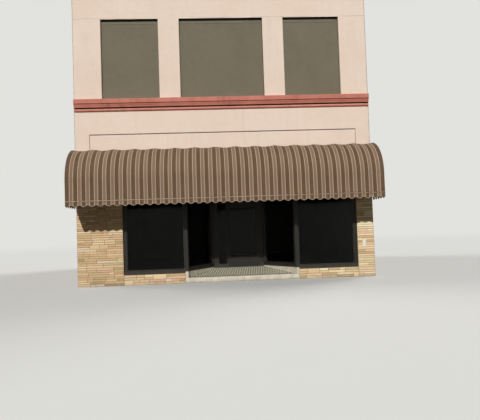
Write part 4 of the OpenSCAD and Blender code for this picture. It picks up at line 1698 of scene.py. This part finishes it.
@dataclass
class Glazing:
    """Stops and gaskets that hold a sheet of glass in its opening.

    Attributes:
        stop: Width of a stop as seen.
        stop_d: Depth of a stop.
        gasket: Width of the gasket as seen.
        gasket_d: Depth of the gasket.
        soften: Width of the stops' bevelled edges.
    """

    stop: float = 0.016
    stop_d: float = 0.022
    gasket: float = 0.006
    gasket_d: float = 0.005
    soften: float = 0.002

    def ring(self, solid: Solid, line: Line, span: Span, width: float, behind: Pair,
             soften: float) -> None:
        """Adds four bars round an opening.

        Args:
            solid: Shape that they go into.
            line: Line of the wall.
            span: Start, end, foot and head of the opening.
            width: Width of the bars.
            behind: Distances of their faces behind the line.
            soften: Width of their bevelled edges.
        """
        for start, end, foot, head in border(span, width, width, width):
            solid.box((start, behind[0], foot), (end, behind[1], head), soften, line.place)

    def fill(self, stops: Solid, seals: Solid, line: Line, span: Span, glass: Pair) -> None:
        """Adds the stops and gaskets on both faces of a sheet.

        Args:
            stops: Shape that the stops go into.
            seals: Shape that the gaskets go into.
            line: Line of the wall.
            span: Start, end, foot and head of the opening.
            glass: Distances of the glass's faces behind the line.
        """
        g, d = self.gasket_d, self.stop_d
        for face, way in ((glass[0], -1.0), (glass[1], 1.0)):
            back, front = face + way * g, face + way * (g + d)
            self.ring(seals, line, span, self.stop + self.gasket, (face, back), 0.0)
            self.ring(stops, line, span, self.stop, (back, front), self.soften)


@dataclass
class Shopfront:
    """Show windows, splayed windows and the beam over them.

    Attributes:
        soften: Width of the frames' bevelled edges.
        glazing: Stops and gaskets of the glass.
        splay_stile: Width of the splayed windows' upright bars, measured towards the rear.
    """

    soften: float = 0.004
    glazing: Glazing = field(default_factory=Glazing)
    splay_stile: float = 0.05

    def splay(self, side: str) -> tuple[Line, Pair]:
        """Line of a splayed window and the span of its glass along it.

        Args:
            side: left or right.

        Returns:
            The line from front to back, and where the glass starts and ends on it.
        """
        end, way = (1, 1.0) if side == "left" else (0, -1.0)
        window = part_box(f"{side}_window_frame")
        front = (window[end].x, window[1].y)
        back = (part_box(f"{side}_return_frame")[end].x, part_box("door_frame")[0].y)
        length = math.dist(front, back)
        stile = self.splay_stile * length / (back[1] - front[1])
        return Line.between(front, back, way), (stile, length - stile)

    def build(self) -> None:
        """Dresses the frames and the beam, and adds the stops and the gaskets."""
        stops, seals = Solid(), Solid()
        frame_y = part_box("left_window_frame")[0].y
        for side in ("left", "right"):
            for part in (f"{side}_window", f"{side}_return"):
                recast(part + "_frame", part + "_bars", self.soften, Coat.BRONZE, Slot.FRAME)
            low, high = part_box(f"{side}_window_glass")
            line = Line.between((low.x, frame_y), (high.x, frame_y), 1.0)
            depth = (low.y - frame_y, high.y - frame_y)
            self.glazing.fill(stops, seals, line, (0.0, high.x - low.x, low.z, high.z), depth)
            splay, span = self.splay(side)
            low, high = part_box(f"{side}_return_glass")
            self.glazing.fill(stops, seals, splay, (*span, low.z, high.z), depth)
            dress(Coat.GLASS, f"{side}_window_glass", f"{side}_return_glass")
        fit(stops.piece("shopfront_glazing_stops"), Coat.BRONZE, Slot.FRAME)
        fit(seals.piece("shopfront_gaskets"), Coat.GASKET, Slot.FRAME)
        beam_edge = 0.006
        recast("shopfront_beam", "shopfront_beam_cover", beam_edge, Coat.BRONZE, Slot.FRAME)


@dataclass
class Entry:
    """Step, tiled ramp, low side walls and ceiling of the recessed entry.

    Attributes:
        tile_w: Width of a tile.
        tile_d: Length of a tile, from the street to the door.
        grout: Width of the joint between tiles.
        lift: How far the tiles stand above the concrete.
        margin: Width left bare along the side walls.
        ramp_y: Place behind which the top is a ramp of grey concrete.
    """

    tile_w: float = 0.035
    tile_d: float = 0.120
    grout: float = 0.004
    lift: float = 0.003
    margin: float = 0.06
    ramp_y: float = -5.85

    def tiles(self) -> None:
        """Lays the tiles on the ramp, pale and dark in turn, with the rows in threes."""
        front_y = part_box("left_window_frame")[1].y
        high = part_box("entry_floor")[1]
        step_z = self.step_height()
        rise, depth = high.z - step_z, high.y - front_y
        left = (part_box("left_window_frame")[1].x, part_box("left_return_frame")[1].x)
        right = (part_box("right_window_frame")[0].x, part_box("right_return_frame")[0].x)
        pitch, row_pitch = self.tile_w + self.grout, self.tile_d + self.grout
        run = math.hypot(rise, depth)
        draw = random.Random(51)
        bare, half, within = 0.02, 0.5, 0.499
        units = []
        for row in range(1, int((run - bare) / row_pitch)):
            share = (row + 0.5) * row_pitch / run
            start, end = mixed(*left, share) + self.margin, mixed(*right, share) - self.margin
            for column in range(math.ceil(start / pitch), math.floor(end / pitch)):
                tint = half * ((row // 3 + column) % 2) + within * draw.random()
                middle = ((column + 0.5) * pitch, front_y + share * depth, step_z + share * rise)
                units.append(Unit(middle, (self.tile_w, self.lift, self.tile_d), tint))
        slope = math.atan2(rise, depth)
        unit = block_unit("entry_tile_unit", [-0.5, 0.5], [-0.5, 0.5], 0.0)
        outward = Vector((0, -math.sin(slope), math.cos(slope)))
        piece = MAKER.lay("entry_tiles", units, unit, Coat.TILE, (slope - math.pi / 2, 0, 0), outward)
        fit(piece, None, Slot.CONCRETE)

    def step_height(self) -> float:
        """Height of the step's top at the street."""
        front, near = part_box("entry_floor")[0].y, 1e-3
        points = [v.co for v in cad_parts["entry_floor"].data.vertices]
        return max(point.z for point in points if abs(point.y - front) < near)

    def build(self) -> None:
        """Makes the entry's floor, side walls and ceiling."""
        step_edge, kerb_edge, board_edge = 0.012, 0.008, 0.003
        ramp = Zone(Coat.CONCRETE, lambda n, m: n.z > SQUARE_ON and m.y > self.ramp_y)
        recast("entry_floor", "entry_step", step_edge, Coat.STEP, Slot.CONCRETE, ramp)
        for side in ("left", "right"):
            base, kerb = f"{side}_return_base", f"{side}_return_kerb"
            recast(base, kerb, kerb_edge, Coat.STEP, Slot.PALE_CONCRETE)
        recast("entry_soffit", "entry_ceiling", board_edge, Coat.SOFFIT, Slot.SOFFIT)
        self.tiles()


@dataclass
class EntryDoor:
    """Entrance door with its frame, plates, lock and seals.

    Attributes:
        soften: Width of the bevelled edges.
        plate_t: Thickness of the kick plates.
        plate_inset: Distance of a kick plate from the leaf's edges.
        lock_z: Height of the middle of the lock's plates.
        glazing: Stops and gaskets of the glass.
    """

    soften: float = 0.003
    plate_t: float = 0.002
    plate_inset: float = 0.004
    lock_z: float = 1.18
    glazing: Glazing = field(default_factory=lambda: Glazing(stop=0.012, stop_d=0.010, gasket=0.005))

    def leaf(self) -> None:
        """Dresses the leaf and adds what is fixed to it."""
        door = Body.DOOR
        low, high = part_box("door_leaf")
        glass_low, glass_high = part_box("door_glass")
        recast("door_leaf", "door_leaf_bars", self.soften, Coat.BRONZE, Slot.FRAME, body=door)
        line = Line.between((glass_low.x, low.y), (glass_high.x, low.y), 1.0)
        stops, seals, plates = Solid(), Solid(), Solid()
        span = (0.0, glass_high.x - glass_low.x, glass_low.z, glass_high.z)
        self.glazing.fill(stops, seals, line, span, (glass_low.y - low.y, glass_high.y - low.y))
        fit(stops.piece("door_glazing_stops"), Coat.BRONZE, Slot.FRAME, body=door)
        fit(seals.piece("door_gaskets"), Coat.GASKET, Slot.FRAME, body=door)
        under_glass, plate_edge, lock_edge = 0.02, 0.0008, 0.001
        inset, t, top = self.plate_inset, self.plate_t, glass_low.z - under_glass
        for y0, y1 in ((low.y - t, low.y), (high.y, high.y + t)):
            plates.box((low.x + inset, y0, low.z + inset), (high.x - inset, y1, top), plate_edge)
        x, z = (low.x + glass_low.x) / 2, self.lock_z
        wide, thick, tall = 0.02, 0.003, 0.055
        radius, out, up = 0.014, 0.009, 0.01
        for face, way in ((low.y, -1.0), (high.y, 1.0)):
            plates.box((x - wide, face, z - tall), (x + wide, face + way * thick, z + tall), lock_edge)
            plates.rod((x, face, z + up), (x, face + way * out, z + up), radius, 20, lock_edge)
        fit(plates.piece("door_plates"), Coat.ALUMINIUM, Slot.HARDWARE, body=door)
        recast("door_pulls", "door_pull_bars", lock_edge, Coat.ALUMINIUM, Slot.HARDWARE, body=door)

    def build(self) -> None:
        """Makes the door, its frame and the glass beside and over it."""
        self.leaf()
        dress(Coat.GLASS, "door_glass", "entry_glass")
        dress(Coat.ALUMINIUM, "door_hinges", "frame_hinges")
        recast("door_frame", "door_frame_bars", self.soften, Coat.BRONZE, Slot.FRAME)


@dataclass
class Awning:
    """Striped cloth awning on a steel frame, with closed ends and a scalloped valance.

    Attributes:
        rib_count: Number of ribs of the frame.
        rib_inset: Depth of the cloth under the awning's outline at a rib.
        sag: How much deeper it lies between two ribs.
        hem_wave: How far the hem at the wall hangs down between two ribs.
        crease: Height of the creases in the cover.
        dish: How far the closed ends sag inwards.
        fold: Depth of the valance's folds.
        cloth_t: Thickness of the cloth.
        repeat: Width of one stripe repeat, which is one scallop.
        scallop: Depth of a scallop.
        curve_h: Height of the rounded part.
        column: Width of a column of the cloth's mesh.
        piping: Radius of the piping on the seam.
        binding: Radius of the binding on the scallops.
    """

    rib_count: int = 16
    rib_inset: float = 0.006
    sag: float = 0.026
    hem_wave: float = 0.030
    crease: float = 0.004
    dish: float = 0.014
    fold: float = 0.004
    cloth_t: float = 0.0015
    repeat: float = 0.233
    scallop: float = 0.052
    curve_h: float = 1.05
    column: float = 0.03
    piping: float = 0.011
    binding: float = 0.008

    def __post_init__(self) -> None:
        """Reads the awning's outline from the frame."""
        self.low, self.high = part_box("awning_canopy")
        self.tip_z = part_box("awning_valance")[0].z
        self.out = self.high.y - self.low.y
        self.curve_z = self.high.z - self.curve_h

    def outline(self) -> list[Station]:
        """Stations down the cloth: distance from the wall, Y, Z and the outward normal's Y and Z."""
        turns, drops = 36, 12
        stations = []
        distance, last = 0.0, (self.high.y, self.high.z)
        for i in range(turns + drops + 1):
            if i <= turns:
                turn = math.pi / 2 * (1 - i / turns)
                y = self.high.y - self.out * math.cos(turn)
                z = self.curve_z + self.curve_h * math.sin(turn)
                normal = Vector((-math.cos(turn) / self.out, math.sin(turn) / self.curve_h)).normalized()
            else:
                y, z = self.low.y, mixed(self.curve_z, self.low.z, (i - turns) / drops)
                normal = Vector((-1.0, 0.0))
            distance += math.dist((y, z), last)
            last = (y, z)
            stations.append((distance, y, z, normal.x, normal.y))
        return stations

    def sheet(self, name: str, steps: tuple[int, int], knot: Callable[[int, int], Knot],
              turned: bool = True) -> Piece:
        """Makes a sheet of cloth.

        Args:
            name: Name of the sheet.
            steps: Number of its steps down and across.
            knot: Gives the point at a step down and across, and its place on the flat cloth.
            turned: Whether each row runs the other way, so that the faces look outwards.

        Returns:
            The sheet, with its thickness.
        """
        down, across = steps
        wide = across + 1
        knots = [knot(r, across - c if turned else c) for r in range(down + 1) for c in range(wide)]
        faces = [(r * wide + c, r * wide + c + 1, (r + 1) * wide + c + 1, (r + 1) * wide + c)
                 for r in range(down) for c in range(across)]
        data = meshed(name, [point for point, flat in knots], faces)
        flats = [part for loop in data.loops for part in knots[loop.vertex_index][1]]
        data.uv_layers.new(name="cloth").data.foreach_set("uv", flats)
        data.shade_smooth()
        piece = shown(name, data)
        thick = piece.modifiers.new("Cloth", "SOLIDIFY")
        thick.thickness = self.cloth_t
        thick.offset = 0.0
        return piece

    def cover(self) -> None:
        """Stretches the top and front cloth over the ribs."""
        stations = self.outline()
        width, whole = self.high.x - self.low.x, stations[-1][0]
        count = round(width / self.column)
        bay = width / (self.rib_count - 1)
        hem, top_reach, foot_reach, wave_reach = 0.05, 0.12, 0.5, 0.15

        def knot(row: int, column: int) -> Knot:
            """Point that lies on a rib or sags between two, least near the top and the foot."""
            distance, y, z, ny, nz = stations[row]
            x = mixed(self.low.x, self.high.x, column / count)
            to_foot = max(0.0, whole - distance)
            free = min(1.0, distance / top_reach) * min(1.0, to_foot / foot_reach) ** 0.8
            swing = math.sin(math.pi * (x - self.low.x) / bay)
            crease = noise.noise(Vector((x * 2.2, distance * 1.4, 3.0))) * self.crease * free
            dip = abs(swing) ** 1.2 * self.sag * free
            inset = self.rib_inset * min(1.0, distance / hem) + dip + crease
            wave = self.hem_wave * swing ** 2 * math.exp(-distance / wave_reach)
            return (x, y - ny * inset, z - nz * inset - wave), (x, distance)

        piece = self.sheet("awning_cover", (len(stations) - 1, count), knot)
        self.hang(piece, (width, whole), "stretched", "awning_canopy")

    def hang(self, piece: Piece, flat: Pair, held: str, *nodes: str, area: float | None = None) -> None:
        fit(piece, Coat.CLOTH, Slot.CLOTH, *nodes)

    def ends(self) -> None:
        """Closes both ends with flat cloth."""
        steps, seam, dish_end = 18, 0.002, 1.4
        area = math.pi / 4 * self.out * self.curve_h + self.out * (self.curve_z - self.low.z)
        for name, x, side in (("awning_left_end", self.low.x, -1.0),
                              ("awning_right_end", self.high.x, 1.0)):

            def knot(row: int, column: int) -> Knot:
                """Point between the foot and the round top, dished in the middle."""
                turn, up = math.pi / 2 * (row / steps), column / steps
                y = self.high.y - self.out * math.cos(turn)
                top = self.curve_z + self.curve_h * math.sin(turn) - self.rib_inset
                z = mixed(self.low.z, top, up)
                across = math.sin(math.pi * min(1.0, turn / dish_end))
                inset = seam + self.dish * across * math.sin(math.pi * up)
                return (x - side * inset, y, z), (self.high.x + y - self.low.y, self.high.z - z)

            piece = self.sheet(name, (steps, steps), knot, turned=side > 0)
            self.hang(piece, (self.out, self.high.z - self.low.z), "stretched", area=area)

    def edge_z(self, u: float) -> float:
        """Height of the valance's edge at a distance along the cloth from the awning's middle."""
        return self.tip_z + self.scallop * (1 + math.cos(2 * math.pi * u / self.repeat)) / 2

    def corner_point(self, u: float, out: float) -> Pair:
        """X and Y on the awning's foot line at a distance along it, moved outwards."""
        half = self.high.x
        if u < -half:
            return -half - out, self.low.y + (-half - u)
        if u > half:
            return half + out, self.low.y + (u - half)
        return u, self.low.y - out

    def valance(self) -> None:
        """Hangs the scalloped valance on the front and both sides."""
        half, rows_down, knots_each, cover_length = self.high.x, 8, 16, 2.4
        spans = (("awning_valance_left", -half - self.out, -half),
                 ("awning_valance_front", -half, half),
                 ("awning_valance_right", half, half + self.out))
        for number, (name, start, end) in enumerate(spans):
            count = round((end - start) / (self.repeat / knots_each))

            def knot(row: int, column: int) -> Knot:
                """Point between the seam and the scallops, moved by the folds."""
                down, share = row / rows_down, column / count
                u = mixed(start, end, share)
                drift = 0.8 * noise.noise(Vector((u, 0, 0)))
                fold = self.fold * down * math.sin(2 * math.pi * u / self.repeat + drift)
                inside = mixed(start, end, max(1e-6, min(1 - 1e-6, share)))
                x, y = self.corner_point(inside, fold - self.fold)
                z = mixed(self.low.z, self.edge_z(u), down)
                return (x, y, z), (u, cover_length + self.low.z - z)

            nodes = ["awning_valance"] if number == 1 else []
            flat = (end - start, self.low.z - self.tip_z)
            self.hang(self.sheet(name, (rows_down, count), knot), flat, "hung", *nodes)

    def trims(self) -> None:
        """Runs the piping along the seam and the binding along the scallops."""
        half = self.high.x
        reach = half + self.out
        seam_z, sunk, knots_each = self.low.z + 0.004, -0.003, 12
        line = [(*self.corner_point(u, 0.0), seam_z) for u in (-reach, -half, half, reach)]
        fit(MAKER.cord("awning_piping", line, self.piping, 10, Coat.PIPING), None, Slot.CLOTH)
        count = int(2 * reach / (self.repeat / knots_each))
        places = [mixed(-reach, reach, i / count) for i in range(count + 1)]
        edge = [(*self.corner_point(u, sunk), self.edge_z(u)) for u in places]
        fit(MAKER.cord("awning_binding", edge, self.binding, 6, Coat.PIPING), None, Slot.CLOTH)

    def build(self) -> None:
        """Makes the whole awning."""
        dress(Coat.STEEL, "awning_frame")
        self.cover()
        self.ends()
        self.valance()
        self.trims()


@dataclass
class WallBox:
    """Small plastic box on the right pier.

    Attributes:
        soften: Width of its rounded edges.
        lid: Thickness of its lid.
    """

    soften: float = 0.008
    lid: float = 0.012

    def build(self) -> None:
        """Makes the box with its lid and two screws."""
        low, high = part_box("wall_box")
        solid = Solid()
        gap, lid_share = 0.002, 0.6
        lid_y = low.y + self.lid
        back_y = lid_y + gap
        solid.box((low.x, low.y, low.z), (high.x, lid_y, high.z), self.soften * lid_share)
        for inset, y0, y1, soften in ((0.003, back_y, high.y, 0.006), (0.01, lid_y, back_y, 0.0)):
            solid.box((low.x + inset, y0, low.z + inset), (high.x - inset, y1, high.z - inset), soften)
        middle = (low.x + high.x) / 2
        inset, radius = 0.02, 0.005
        for z in (low.z + inset, high.z - inset):
            solid.rod((middle, low.y + 0.001, z), (middle, low.y - 0.002, z), radius, 12, 0.0008)
        fit(solid.piece("wall_box_case"), Coat.PLASTIC, Slot.PLASTIC, "wall_box")


def main() -> None:
    """Builds the studio and every sub-assembly in order."""
    logging.basicConfig(level=logging.INFO, format="%(message)s")
    Studio().build()
    for part in (Walls(), StoneFacing(), Brickwork(), BeltCourse(), WindowPanels(), Copings(), Roof(),
                 Floors(), Shopfront(), Entry(), EntryDoor(), Awning(), WallBox()):
        log.info("Building %s", type(part).__name__)
        part.build()


if __name__ == "__main__":
    main()
